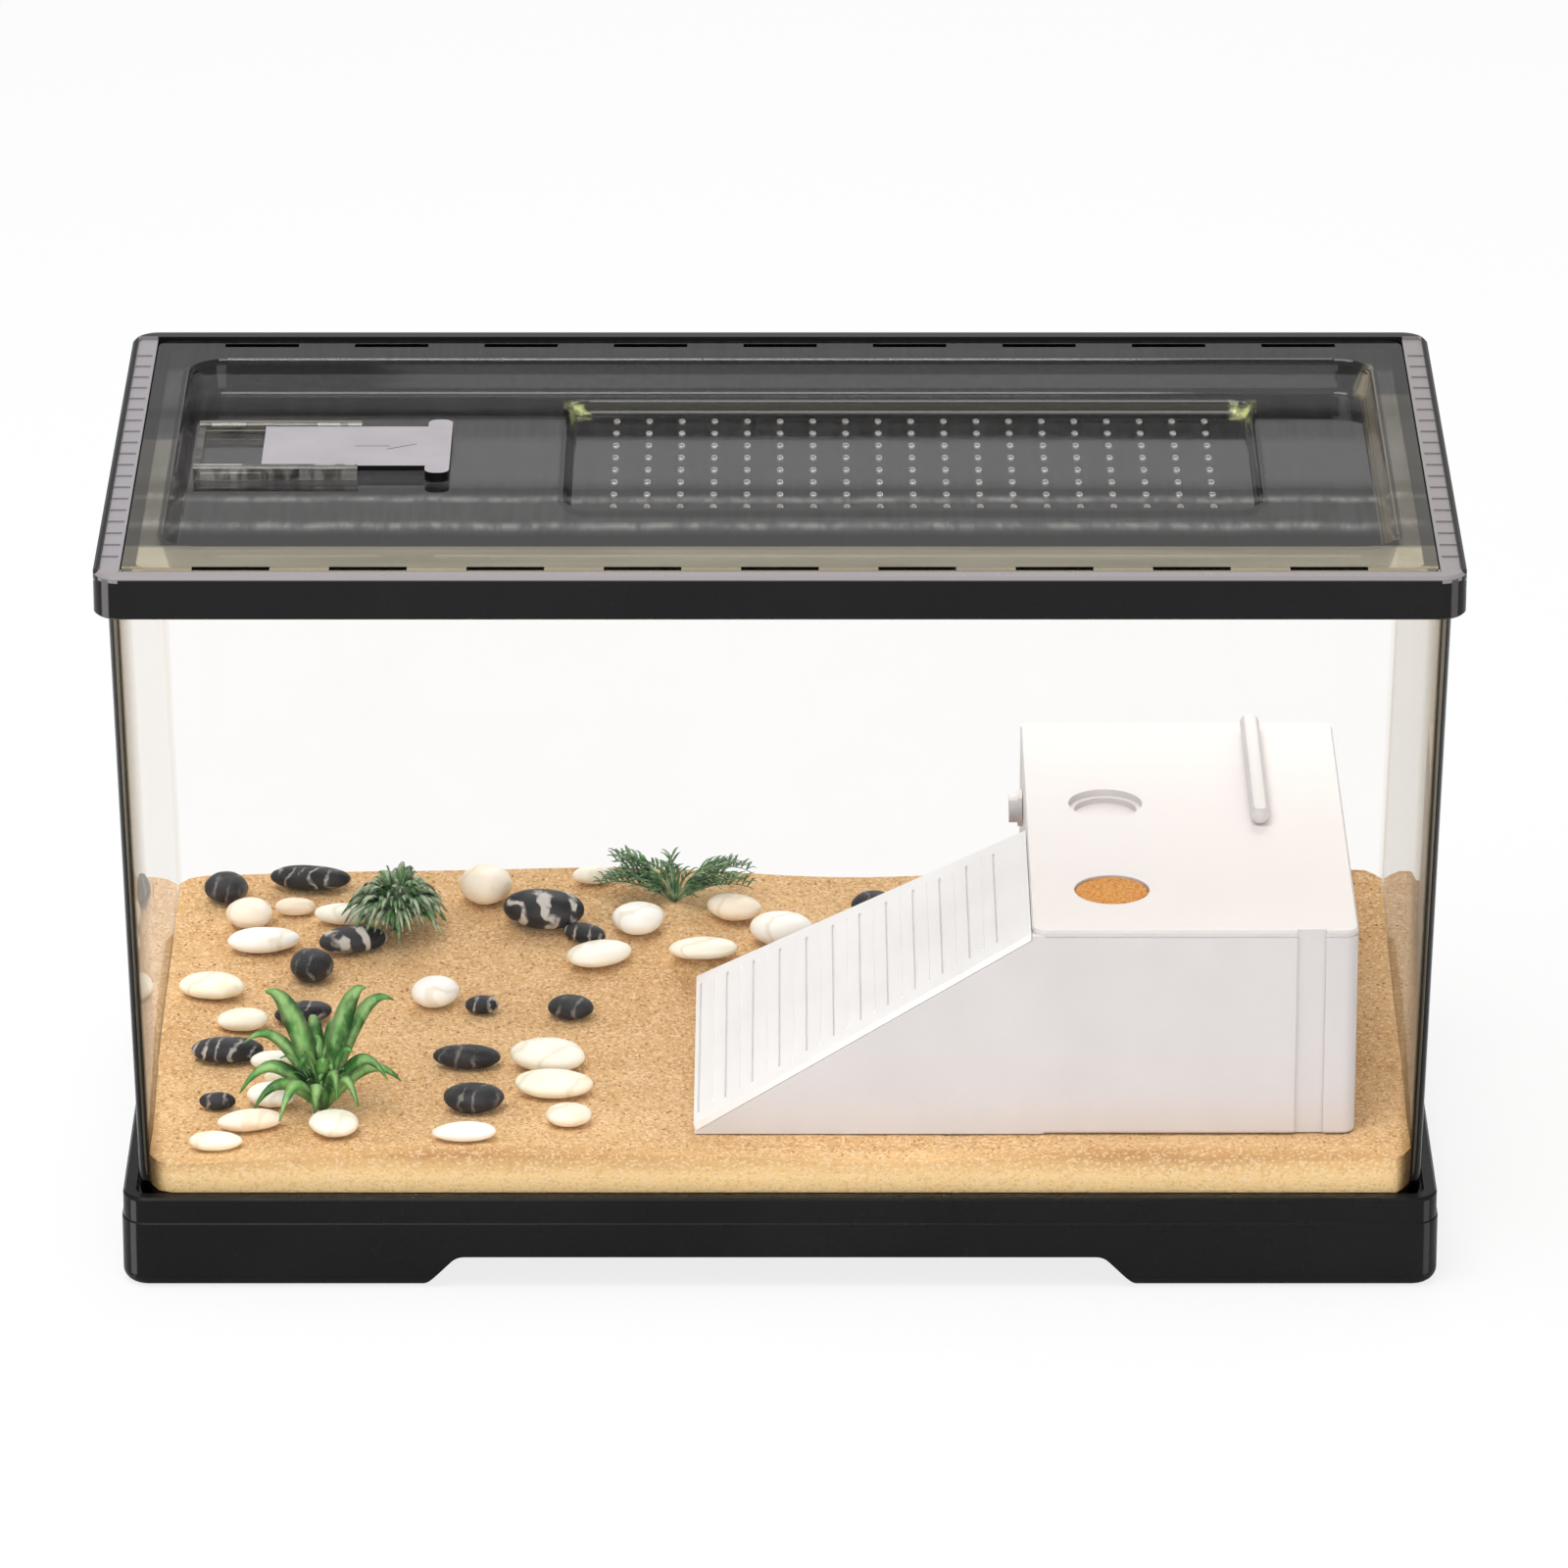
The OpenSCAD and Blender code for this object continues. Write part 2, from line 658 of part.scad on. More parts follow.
module platform_cover() {
    lip_h = 4;
    lip_gap = 0.5;
    lip_w = plat_w - 2 * (plat_wall + lip_gap);
    lip_d = plat_d - 2 * (plat_wall + lip_gap) - groove_depth;
    color(white) difference() {
        union() {
            translate([plat_x + plat_w / 2, plat_y + plat_d / 2, 0]) {
                swept_frame(plat_w, plat_d, plat_corner) cover_section();
                slab(plat_w - 2 * plat_corner, plat_d - 2 * plat_corner, cover_z, cover_t);
                translate([0, groove_depth / 2, cover_z - lip_h]) linear_extrude(lip_h + 1) difference() {
                    rounded_rect(lip_w, lip_d, plat_corner - plat_wall);
                    rounded_rect(lip_w - 2 * cup_wall, lip_d - 2 * cup_wall, plat_corner - plat_wall - cup_wall);
                }
            }
            dish_places() translate([0, 0, plat_top - dish_depth - cup_wall])
                cylinder(d = dish + 2 * cup_wall, h = dish_depth);
        }
        dish_places() {
            translate([0, 0, plat_top - dish_depth]) cylinder(d = dish - 5, h = dish_depth + 1);
            translate([0, 0, plat_top - dish_depth * 0.55]) cylinder(d = dish, h = dish_depth + 1);
        }
        translate([groove_x, plat_y - 1, plat_z - 1]) cube([groove_w, groove_depth + 1, plat_h + 2]);
    }
}

// Plan of the board, drawn in from its two long edges by an inset
module board_plan(inset) {
    spare = 5;
    taper = (ramp_foot_w - ramp_top_w) / ramp_l;
    polygon([[0, inset], [ramp_l + spare, inset], [ramp_l + spare, ramp_top_w - taper * spare - inset],
             [0, ramp_foot_w - inset]]);
}

// A strip across the board, clear of its two long edges
module board_strip(x, w, z, t) {
    edge = 11;
    translate([0, 0, z]) linear_extrude(t) intersection() {
        translate([x, 0]) square([w, ramp_foot_w]);
        board_plan(edge);
    }
}

// Ramp board, drawn flat along its length, tilted, and cut upright where it meets the box
module ramp_board() {
    first = 2;
    slit_depth = 1.6;
    ridge_w = 1.2;
    pitch = (ramp_l - 20) / (slits - 1);
    color([0.98, 0.98, 0.98]) difference() {
        translate([foot_x, plat_y, plat_z + wedge_toe]) rotate([0, -ramp_angle, 0])
            translate([ramp_t * sin(ramp_angle), 0, seat_gap]) {
                difference() {
                    linear_extrude(ramp_t) board_plan(0);
                    for (i = [0:slits - 1])
                        board_strip(first + i * pitch, slit_w, ramp_t - slit_depth, ramp_t);
                }
                for (i = [0:slits - 2])
                    board_strip(first + (i + 0.5) * pitch, ridge_w, ramp_t - 0.2, ridge_h + 0.2);
            }
        translate([plat_x - seat_gap, plat_y - 1, plat_z]) cube([20, plat_d, plat_h * 2]);
    }
}

// Filter and pump
module outlet_spout() {
    reach = 6;
    flange = pipe_dia + 5;
    color(white) translate([plat_x - seat_gap, spout_y, spout_z]) rotate([0, -90, 0]) difference() {
        union() {
            cylinder(d = flange, h = 2);
            cylinder(d = pipe_dia + 1.5, h = reach);
        }
        translate([0, 0, -1]) cylinder(d = pipe_bore, h = reach + 2);
    }
}

module outlet_pipe() {
    rise_z = pump_z + pump_h + seat_gap;
    run_x = pump_x - pipe_bend;
    color([0.2, 0.2, 0.21]) {
        translate([pump_x, pump_y, rise_z]) tube(spout_z - pipe_bend - rise_z);
        translate([run_x, pump_y, spout_z - pipe_bend]) rotate([90, 0, 0])
            rotate_extrude(angle = 90) translate([pipe_bend, 0]) tube_ring();
        translate([plat_x, pump_y, spout_z]) rotate([0, 90, 0]) tube(run_x - plat_x);
    }
}

module tube_ring() {
    difference() {
        circle(d = pipe_dia);
        circle(d = pipe_bore);
    }
}

module tube(length) {
    linear_extrude(length) tube_ring();
}

module pump_body() {
    color([0.12, 0.12, 0.13]) translate([pump_x, pump_y, 0]) {
        slab(pump_w, pump_d, pump_z, pump_h - 3);
        translate([0, 0, pump_z]) cylinder(d = pipe_dia + 8, h = pump_h);
    }
}

module pump_grille() {
    bars = 6;
    bar_pitch = (pump_h - 8) / bars;
    color([0.15, 0.15, 0.16]) translate([pump_x, grille_y, 0]) difference() {
        translate([0, grille_d / 2, 0]) slab(pump_w - 4, grille_d, pump_z, pump_h - 6);
        for (i = [0:bars - 1])
            translate([0, grille_d / 2 - 2, 0])
                slab(pump_w - 10, grille_d - 3, pump_z + 2.5 + i * bar_pitch, bar_pitch - 2);
    }
}

module filter_sponge() {
    side = 6;
    front = plat_y + plat_wall + groove_depth + side;
    color([0.15, 0.25, 0.2]) translate([plat_x + plat_wall + side, front, pump_z])
        cube([plat_w - 2 * (plat_wall + side), grille_y - sponge_gap - front, sponge_h]);
}

module top_tube() {
    r = top_tube_dia / 2;
    end_y = plat_y + plat_d - top_tube_back;
    color(white) translate([plat_x + top_tube_side, end_y - r, plat_top + r + seat_gap])
        rotate([90, 0, 0]) {
            cylinder(r = r, h = top_tube_l - 2 * r);
            sphere(r);
            translate([0, 0, top_tube_l - 2 * r]) sphere(r);
        }
}

module feed_pellets() {
    foot_r = (dish - 5) / 2 - seat_gap;
    fill_r = dish / 2 - seat_gap;
    ledge = dish_depth * 0.45;
    brim = dish_depth - 1.2;
    dome = 1.6;
    color([0.85, 0.55, 0.2]) translate([dish_x, dish_front_y, plat_top - dish_depth + seat_gap])
        rotate_extrude() polygon(concat(
            [[0, 0], [foot_r, 0], [foot_r, ledge], [fill_r, ledge]],
            [for (i = [0:5]) [fill_r * cos(i * 18), brim + dome * sin(i * 18)]]));
}

// Sand
// 1 over a rectangle, easing to 0 over a distance outside it
function near_box(x, y, x0, x1, y0, y1, fade) =
    let (dx = max(x0 - x, x - x1, 0), dy = max(y0 - y, y - y1, 0))
    1 - ease(norm([dx, dy]) / fade);

// Height of the sand before anything stands on it
function bare_sand_z(x, y) =
    sand_front_z + (sand_back_z - sand_front_z) * pow(max(y / inner_d + 0.5, 0), sand_bank)
    + 2.2 * sin(x * 1.15 + 40) * cos(y * 1.4) + 0.8 * sin((x + 0.7 * y) * 2.1);

// Back edge of the levelled sand under the ramp, which spreads toward the foot
function level_back_y(x) =
    let (t = min(max((x - foot_x) / ramp_reach, 0), 1))
    plat_y + ramp_foot_w - (ramp_foot_w - ramp_top_w) * t + level_margin / 3;

// Height of the sand, levelled under the platform and its ramp
function sand_z(x, y) =
    let (flat = max(
        near_box(x, y, plat_x - level_margin, plat_x + plat_w + level_margin,
                 plat_y - level_margin, plat_y + plat_d + level_margin, 9),
        near_box(x, y, foot_x - level_margin, plat_x, plat_y - level_margin, level_back_y(x), 13)))
    bare_sand_z(x, y) * (1 - flat) + sand_level_z * flat;

// Evenly spaced values from one to another, without the last
function spaced(from, to, count) = [for (i = [0:count - 1]) from + (to - from) * i / count];

// Rows of the sand's surface at one x; one of them follows the back edge of the ramp
function sand_rows(x, half_d) =
    let (edge = level_back_y(x), back = plat_y + plat_d + level_margin)
    concat(spaced(-half_d, plat_y - level_margin, 2), spaced(plat_y - level_margin, edge, 10),
           spaced(edge, back, 9), [back, half_d]);

module sand_bed() {
    half_w = inner_w / 2 - seat_gap;
    half_d = inner_d / 2 - seat_gap;
    foot_edge = foot_x - level_margin;
    left_edge = plat_x - level_margin;
    right_edge = plat_x + plat_w + level_margin;
    xs = concat(spaced(-half_w, foot_edge, 22), spaced(foot_edge, left_edge, 11),
                spaced(left_edge, right_edge, 5), spaced(right_edge, half_w, 3), [half_w]);
    rows = [for (x = xs) sand_rows(x, half_d)];
    nx = len(xs);
    ny = len(rows[0]);
    top = [for (j = [0:ny - 1], i = [0:nx - 1])
        let (x = xs[i], y = rows[i][j], z = sand_z(x, y), out = wall_slope * (z - floor_z),
             cut = corner_cut(x, y, half_w, half_d))
        [cut * x * (1 + (abs(x) == half_w ? out / half_w : 0)),
         cut * y * (1 + (abs(y) == half_d ? out / half_d : 0)), z]];
    bottom = [for (j = [0:ny - 1], i = [0:nx - 1])
        let (x = xs[i], y = rows[i][j], cut = corner_cut(x, y, half_w, half_d))
        [cut * x, cut * y, floor_z + seat_gap]];
    n = nx * ny;
    rim = concat([for (i = [0:nx - 1]) i], [for (j = [1:ny - 1]) j * nx + nx - 1],
                 [for (i = [nx - 2:-1:0]) (ny - 1) * nx + i], [for (j = [ny - 2:-1:1]) j * nx]);
    m = len(rim);
    color([0.86, 0.70, 0.50]) polyhedron(
        points = concat(top, [for (k = rim) bottom[k]]),
        faces = concat(
            [for (j = [0:ny - 2], i = [0:nx - 2], half = [0, 1])
                let (a = j * nx + i)
                half == 0 ? [a, a + nx + 1, a + 1] : [a, a + nx, a + nx + 1]],
            [for (k = [0:m - 1], half = [0, 1])
                let (k1 = (k + 1) % m)
                half == 0 ? [rim[k], rim[k1], n + k1] : [rim[k], n + k1, n + k]],
            [[for (k = [0:m - 1]) n + k]]));
}

// Draws the four corners of the sand in, to follow the tank's round corners
function corner_cut(x, y, half_w, half_d) = abs(x) == half_w && abs(y) == half_d ? 1 - 2.5 / half_d : 1;

// Places on the ground, from a row's distances: from the left wall, and behind the ramp's back corner
function ground_x(from_left) = from_left * share_w - inner_w / 2;
function ground_y(behind) = corner_y + behind * (behind > 0 ? share_back : share_front);

// Size of what lies there, next to its size in the rows
function ground_size(behind) =
    let (reach = 12)
    min(share_w, behind > -reach ? share_back : share_front, behind < reach ? share_front : share_back);

// Pebbles
// Each row: distance from the left wall, distance behind the ramp's back corner, length, depth, thickness,
// turn
white_places = [
    [21, -28, 30, 22, 10, 0], [35, 45, 22, 20, 13, 20], [42, 21, 35, 18, 10, 5],
    [79, 44, 28, 14, 9, -10], [37, -62, 23, 17, 9, 10], [145, 63, 24, 24, 17, 0],
    [124, -33, 23, 19, 13, 30], [178, -99, 36, 24, 13, -10], [181, -130, 36, 22, 11, -10],
    [188, -163, 20, 18, 9, 0], [142, -179, 28, 13, 8, 5], [83, -170, 23, 20, 10, 0],
    [30, -182, 25, 11, 8, 0], [45, -163, 30, 13, 9, 10], [54, -138, 22, 18, 10, 0],
    [52, -101, 20, 10, 8, 10], [57, -118, 16, 9, 8, 0], [56, 54, 20, 9, 8, 0],
    [217, 36, 25, 22, 13, 10], [199, 8, 31, 20, 10, 20], [248, 12, 31, 16, 9, 5],
    [262, 49, 26, 18, 11, -10], [284, 26, 32, 22, 14, -15], [196, 78, 21, 10, 8, 0]];
black_places = [
    [23, 70, 20, 20, 13, 0], [62, 77, 38, 14, 11, -5], [84, 18, 34, 17, 11, 15],
    [66, -9, 22, 20, 14, 60], [173, 41, 38, 24, 17, -10], [192, 27, 20, 10, 9, -20],
    [187, -43, 21, 17, 10, 10], [146, -40, 16, 10, 8, 0], [31, -94, 34, 17, 10, 0],
    [64, -52, 27, 16, 9, 15], [141, -96, 30, 15, 10, -5], [145, -145, 27, 20, 12, 5],
    [29, -142, 17, 8, 8, 0], [327, 56, 21, 15, 12, 10]];

// Lowest height at which a body with these points on its skin clears the sand
function rest_height(points, x, y, turn) =
    max([for (p = points)
        sand_z(x + p[0] * cos(turn) - p[1] * sin(turn), y + p[0] * sin(turn) + p[1] * cos(turn)) - p[2]]);

// A water-worn pebble: a flattened round with a slightly uneven outline
module pebble(place, seed) {
    around = 14;
    rings = 6;
    x = ground_x(place[0]);
    y = ground_y(place[1]);
    half = [place[2], place[3], place[4]] * ground_size(place[1]) / 2;
    side = [for (j = [1:rings - 1], i = [0:around - 1])
        let (up = 180 * j / rings - 90, a = 360 * i / around,
             bulge = 1 + 0.04 * cos(2 * a + 70 * seed) + 0.03 * cos(3 * a + 110 * seed))
        [half[0] * bulge * pow(cos(up), 0.9) * cos(a), half[1] * bulge * pow(cos(up), 0.9) * sin(a),
         half[2] * sin(up)]];
    last = (rings - 2) * around;
    n = len(side);
    points = concat(side, [[0, 0, -half[2]], [0, 0, half[2]]]);
    translate([x, y, rest_height(points, x, y, place[5]) + seat_gap]) rotate([0, 0, place[5]]) polyhedron(
        points = points,
        faces = concat(
            [for (i = [0:around - 1]) [n, i, (i + 1) % around]],
            [for (j = [0:rings - 3], i = [0:around - 1], part = [0, 1])
                let (a = j * around + i, b = j * around + (i + 1) % around)
                part == 0 ? [a, a + around, b] : [b, a + around, b + around]],
            [for (i = [0:around - 1]) [n + 1, last + (i + 1) % around, last + i]]));
}

// Plants
// A thin leaf that rises from its root, then leans out and droops; each link joins two slices
module leaf(reach, rise, droop, width, turn) {
    steps = 5;
    spine = [for (i = [0:steps]) let (t = i / steps)
        [reach * t, 0, rise * (1 - (1 - t) * (1 - t)) - droop * t * t * t]];
    half = [for (i = [0:steps]) let (t = i / steps) 0.25 + width / 2 * sin(25 + 150 * t) * (1 - 0.5 * t)];
    slices = [for (i = [0:steps])
        [spine[i] + [0, half[i], 0.25 * half[i]], spine[i] + [0, -half[i], 0.25 * half[i]], spine[i] - [0, 0, 0.8]]];
    link_faces = [[0, 2, 1], [3, 4, 5], [0, 1, 4, 3], [1, 2, 5, 4], [2, 0, 3, 5]];
    rotate([0, 0, turn]) for (i = [0:steps - 1])
        hull() polyhedron(concat(slices[i], slices[i + 1]), link_faces);
}

module plant_root(from_left, behind, r) {
    x = ground_x(from_left);
    y = ground_y(behind);
    translate([x, y, sand_z(x, y) + seat_gap + 1]) scale(ground_size(behind)) {
        translate([0, 0, -0.7]) cylinder(r1 = r, r2 = r * 0.6, h = 2.5);
        children();
    }
}

module grass_plant() {
    blades = 24;
    color([0.25, 0.45, 0.2]) plant_root(104, 36, 4.5)
        for (i = [0:blades - 1])
            leaf(16 + 16 * abs(sin(i * 67)), 24 + 16 * abs(cos(i * 41)), 14 + 8 * sin(i * 97), 2.2, i * 137.5);
}

// Two low fans of fine blades, one to each side
module needle_plant() {
    blades = 20;
    color([0.2, 0.38, 0.2]) plant_root(234, 61, 4)
        for (i = [0:blades - 1])
            leaf(24 + 14 * abs(cos(i * 47)), 20 + 11 * abs(sin(i * 61)), 6 + 3 * sin(i * 83), 2.4,
                 i % 2 == 0 ? i * 4 - 38 : i * 4 + 142);
}

module broad_leaf_plant() {
    blades = 15;
    color([0.28, 0.5, 0.25]) plant_root(77, -144, 4.5)
        for (i = [0:blades - 1])
            leaf(20 + 17 * abs(sin(i * 53)), 46 + 24 * abs(cos(i * 77)), 24 + 12 * sin(i * 31), 6.5,
                 i * 137.5 + 20);
}

base_tray();
tank_body();
top_frame();
lid_panel();
hatch_guide();
hatch_cover();
platform_box();
platform_cover();
ramp_board();
outlet_spout();
outlet_pipe();
pump_body();
pump_grille();
filter_sponge();
top_tube();
feed_pellets();
sand_bed();
grass_plant();
needle_plant();
broad_leaf_plant();
for (i = [1:len(white_places)])
    color([0.93, 0.88, 0.78]) pebble(white_places[i - 1], i);
for (i = [1:len(black_places)])
    color([0.12, 0.12, 0.13]) pebble(black_places[i - 1], i + 30);
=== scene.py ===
import math
import random

import bmesh
import bpy
from mathutils import Matrix, Vector, noise


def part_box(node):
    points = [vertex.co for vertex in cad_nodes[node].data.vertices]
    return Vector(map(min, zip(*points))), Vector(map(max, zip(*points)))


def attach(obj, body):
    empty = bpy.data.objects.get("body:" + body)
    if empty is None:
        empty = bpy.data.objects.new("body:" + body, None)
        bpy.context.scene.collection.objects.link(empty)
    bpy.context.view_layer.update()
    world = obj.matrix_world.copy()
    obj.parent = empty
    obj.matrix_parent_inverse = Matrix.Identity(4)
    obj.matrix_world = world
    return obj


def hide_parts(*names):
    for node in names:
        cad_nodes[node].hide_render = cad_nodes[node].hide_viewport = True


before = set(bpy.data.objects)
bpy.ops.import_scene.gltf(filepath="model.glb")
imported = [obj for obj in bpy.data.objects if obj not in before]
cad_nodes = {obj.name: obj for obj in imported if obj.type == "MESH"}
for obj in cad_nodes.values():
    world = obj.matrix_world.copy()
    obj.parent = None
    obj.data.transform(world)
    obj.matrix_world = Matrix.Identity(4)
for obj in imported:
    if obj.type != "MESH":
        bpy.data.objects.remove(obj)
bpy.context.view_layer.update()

MM = 0.001
TANK = "tank"
HATCH = "hatch"

# The camera stands where the photograph was taken from
CAMERA_PITCH = math.radians(22.09)
CAMERA_DISTANCE = 4.621
CAMERA_AIM = Vector((0.0018, 0.0, 0.181))
FOCAL_PX = 10339
IMAGE_PX = 1600
SENSOR_MM = 36


def add_object(name, data):
    piece = bpy.data.objects.new(name, data)
    bpy.context.scene.collection.objects.link(piece)
    return piece


def make_camera():
    """The photograph's view."""
    data = bpy.data.cameras.new("photo_camera")
    data.sensor_width = SENSOR_MM
    data.lens = FOCAL_PX / IMAGE_PX * SENSOR_MM
    data.clip_end = 50
    camera = add_object("photo_camera", data)
    back = Vector((0, -math.cos(CAMERA_PITCH), math.sin(CAMERA_PITCH)))
    camera.location = CAMERA_AIM + CAMERA_DISTANCE * back
    camera.rotation_euler = (math.pi / 2 - CAMERA_PITCH, 0, 0)
    bpy.context.scene.camera = camera


# Shader building
def put(tree, kind, inputs=None, **settings):
    """Adds a node; an input is set to a value, or linked if the value is a socket."""
    node = tree.nodes.new(kind)
    for name, value in settings.items():
        setattr(node, name, value)
    for name, value in (inputs or {}).items():
        if isinstance(value, bpy.types.NodeSocket):
            tree.links.new(value, node.inputs[name])
        else:
            node.inputs[name].default_value = value
    return node


def calc(tree, operation, a, b=0.0, clamp=False):
    """The output of one math node."""
    return put(tree, "ShaderNodeMath", {0: a, 1: b}, operation=operation, use_clamp=clamp).outputs[0]


def times(tree, a, b, clamp=False):
    return calc(tree, "MULTIPLY", a, b, clamp)


def plus(tree, a, b, clamp=False):
    return calc(tree, "ADD", a, b, clamp)


def minus(tree, a, b):
    return calc(tree, "SUBTRACT", a, b)


def off_whole(tree, value):
    """How far a value lies from the nearest whole number."""
    return minus(tree, value, calc(tree, "ROUND", value))


def place_of(tree):
    """Where a point lies, in metres."""
    return put(tree, "ShaderNodeTexCoord").outputs["Object"]


def normal_of(tree):
    """The way a surface faces."""
    return put(tree, "ShaderNodeTexCoord").outputs["Normal"]


def parts_of(tree, vector):
    """The x, y and z of a vector."""
    return put(tree, "ShaderNodeSeparateXYZ", {0: vector}).outputs


def upward(tree):
    """How much a surface faces up: 1 if level, 0 if upright, -1 for an underside."""
    return parts_of(tree, normal_of(tree))[2]


def blend_colours(tree, mask, low, high):
    """A colour that runs from low to high with a mask."""
    return put(tree, "ShaderNodeMix", {0: mask, 6: low, 7: high}, data_type="RGBA").outputs[2]


def layered(tree, tone, layers):
    """A tone with colours laid over it in turn; each layer is a mask and a colour."""
    for mask, colour in layers:
        tone = blend_colours(tree, mask, tone, colour)
    return tone


def rgb(red, green, blue):
    """A colour given as it looks on screen, 0 to 255, in the renderer's own scale."""
    def linear(c):
        c = c / 255
        return c / 12.92 if c <= 0.04045 else ((c + 0.055) / 1.055) ** 2.4
    return (linear(red), linear(green), linear(blue), 1.0)


def start_group(name, inputs, outputs):
    """An empty node group with named sockets: (group, input node, output node)."""
    group = bpy.data.node_groups.new(name, "ShaderNodeTree")
    for socket, kind, value in inputs:
        made = group.interface.new_socket(socket, in_out="INPUT", socket_type=kind)
        made.default_value = value
    for socket, kind in outputs:
        group.interface.new_socket(socket, in_out="OUTPUT", socket_type=kind)
    return group, group.nodes.new("NodeGroupInput"), group.nodes.new("NodeGroupOutput")


def place_group(tree, group, inputs=None):
    return put(tree, "ShaderNodeGroup", inputs, node_tree=group)


def make_cloud_group():
    """Soft blotches over a surface; Size is how far apart they lie, in metres."""
    group, source, sink = start_group(
        "cloudy_tone",
        [("Size", "NodeSocketFloat", 0.05), ("Contrast", "NodeSocketFloat", 1.0),
         ("Stretch", "NodeSocketVector", (1.0, 1.0, 1.0))],
        [("Mask", "NodeSocketFloat")])
    stretched = put(group, "ShaderNodeVectorMath", {0: place_of(group), 1: source.outputs["Stretch"]},
                    operation="MULTIPLY")
    scale = calc(group, "DIVIDE", 1.0, source.outputs["Size"])
    blotches = put(group, "ShaderNodeTexNoise",
                   {"Vector": stretched.outputs[0], "Scale": scale, "Detail": 4.0, "Roughness": 0.55})
    centred = minus(group, blotches.outputs["Fac"], 0.5)
    stronger = times(group, centred, times(group, source.outputs["Contrast"], 3.0))
    mask = plus(group, stronger, 0.5, clamp=True)
    group.links.new(mask, sink.inputs["Mask"])
    return group


def make_grain_group():
    """Fine grain as a height and as a mask of single specks; Size is a grain's width in metres."""
    group, source, sink = start_group(
        "fine_grain",
        [("Size", "NodeSocketFloat", 0.001)],
        [("Height", "NodeSocketFloat"), ("Speck", "NodeSocketFloat")])
    place = place_of(group)
    scale = calc(group, "DIVIDE", 1.0, source.outputs["Size"])
    cells = put(group, "ShaderNodeTexVoronoi", {"Vector": place, "Scale": scale})
    fine = put(group, "ShaderNodeTexNoise", {"Vector": place, "Scale": scale, "Detail": 2.0})
    hill = minus(group, 1.0, cells.outputs["Distance"])
    height = plus(group, times(group, hill, 0.6), times(group, fine.outputs["Fac"], 0.4))
    tone = put(group, "ShaderNodeSeparateColor", {"Color": cells.outputs["Color"]})
    group.links.new(height, sink.inputs["Height"])
    group.links.new(tone.outputs[0], sink.inputs["Speck"])
    return group


def make_zone_group():
    """1 inside a box given by its lowest and highest corners, with a soft edge, in metres."""
    group, source, sink = start_group(
        "zone",
        [("Low", "NodeSocketVector", (0.0, 0.0, 0.0)), ("High", "NodeSocketVector", (1.0, 1.0, 1.0)),
         ("Soft", "NodeSocketFloat", 0.0002)],
        [("Mask", "NodeSocketFloat")])
    place = place_of(group)
    from_low = put(group, "ShaderNodeVectorMath", {0: place, 1: source.outputs["Low"]},
                   operation="SUBTRACT")
    from_high = put(group, "ShaderNodeVectorMath", {0: source.outputs["High"], 1: place},
                    operation="SUBTRACT")
    nearest = put(group, "ShaderNodeVectorMath", {0: from_low.outputs[0], 1: from_high.outputs[0]},
                  operation="MINIMUM")
    x, y, z = parts_of(group, nearest.outputs[0])
    inside = calc(group, "MINIMUM", calc(group, "MINIMUM", x, y), z)
    mask = calc(group, "DIVIDE", inside, source.outputs["Soft"], clamp=True)
    group.links.new(mask, sink.inputs["Mask"])
    return group


def make_vein_group():
    """Thin wandering veins, as in banded stone; Spacing in metres, Turn in radians."""
    group, source, sink = start_group(
        "stone_veins",
        [("Spacing", "NodeSocketFloat", 0.008), ("Turn", "NodeSocketFloat", 0.6),
         ("Width", "NodeSocketFloat", 0.2)],
        [("Mask", "NodeSocketFloat")])
    place = place_of(group)
    turned = put(group, "ShaderNodeVectorRotate",
                 {"Vector": place, "Angle": source.outputs["Turn"]}, rotation_type="Z_AXIS")
    scale = calc(group, "DIVIDE", 0.314, source.outputs["Spacing"])
    bands = put(group, "ShaderNodeTexWave",
                {"Vector": turned.outputs[0], "Scale": scale, "Distortion": 7.0, "Detail": 3.0,
                 "Detail Scale": 1.6, "Detail Roughness": 0.6})
    edge = minus(group, bands.outputs["Fac"], minus(group, 1.0, source.outputs["Width"]))
    mask = calc(group, "DIVIDE", edge, source.outputs["Width"], clamp=True)
    group.links.new(mask, sink.inputs["Mask"])
    return group


CLOUD = make_cloud_group()
GRAIN = make_grain_group()
ZONE = make_zone_group()
VEINS = make_vein_group()


def start_material(name):
    """An empty material with its output: (material, tree, output node)."""
    material = bpy.data.materials.new(name)
    material.use_nodes = True
    tree = material.node_tree
    tree.nodes.clear()
    return material, tree, put(tree, "ShaderNodeOutputMaterial")


# Farther out than any piece, for a zone that is open to a side
FAR = 1.0


def above(value):
    """Limits of a zone from a value on."""
    return value, FAR


def below(value):
    """Limits of a zone up to a value."""
    return -FAR, value


def zone(tree, x=(-FAR, FAR), y=(-FAR, FAR), z=(-FAR, FAR), soft=0.0002):
    """A mask of what lies between limits in x, y and z; it fades over a soft edge inside them."""
    low, high = zip(x, y, z)
    return place_group(tree, ZONE, {"Low": low, "High": high, "Soft": soft}).outputs["Mask"]


def cloud(tree, size, contrast=1.0, stretch=(1, 1, 1)):
    return place_group(tree, CLOUD, {"Size": size, "Contrast": contrast, "Stretch": stretch}).outputs["Mask"]


def either(tree, masks):
    """The strongest of several masks."""
    total = masks[0]
    for mask in masks[1:]:
        total = calc(tree, "MAXIMUM", total, mask)
    return total


def uneven(tree, size, low, high):
    """A value that drifts between two limits in soft blotches."""
    return plus(tree, times(tree, cloud(tree, size), high - low), low)


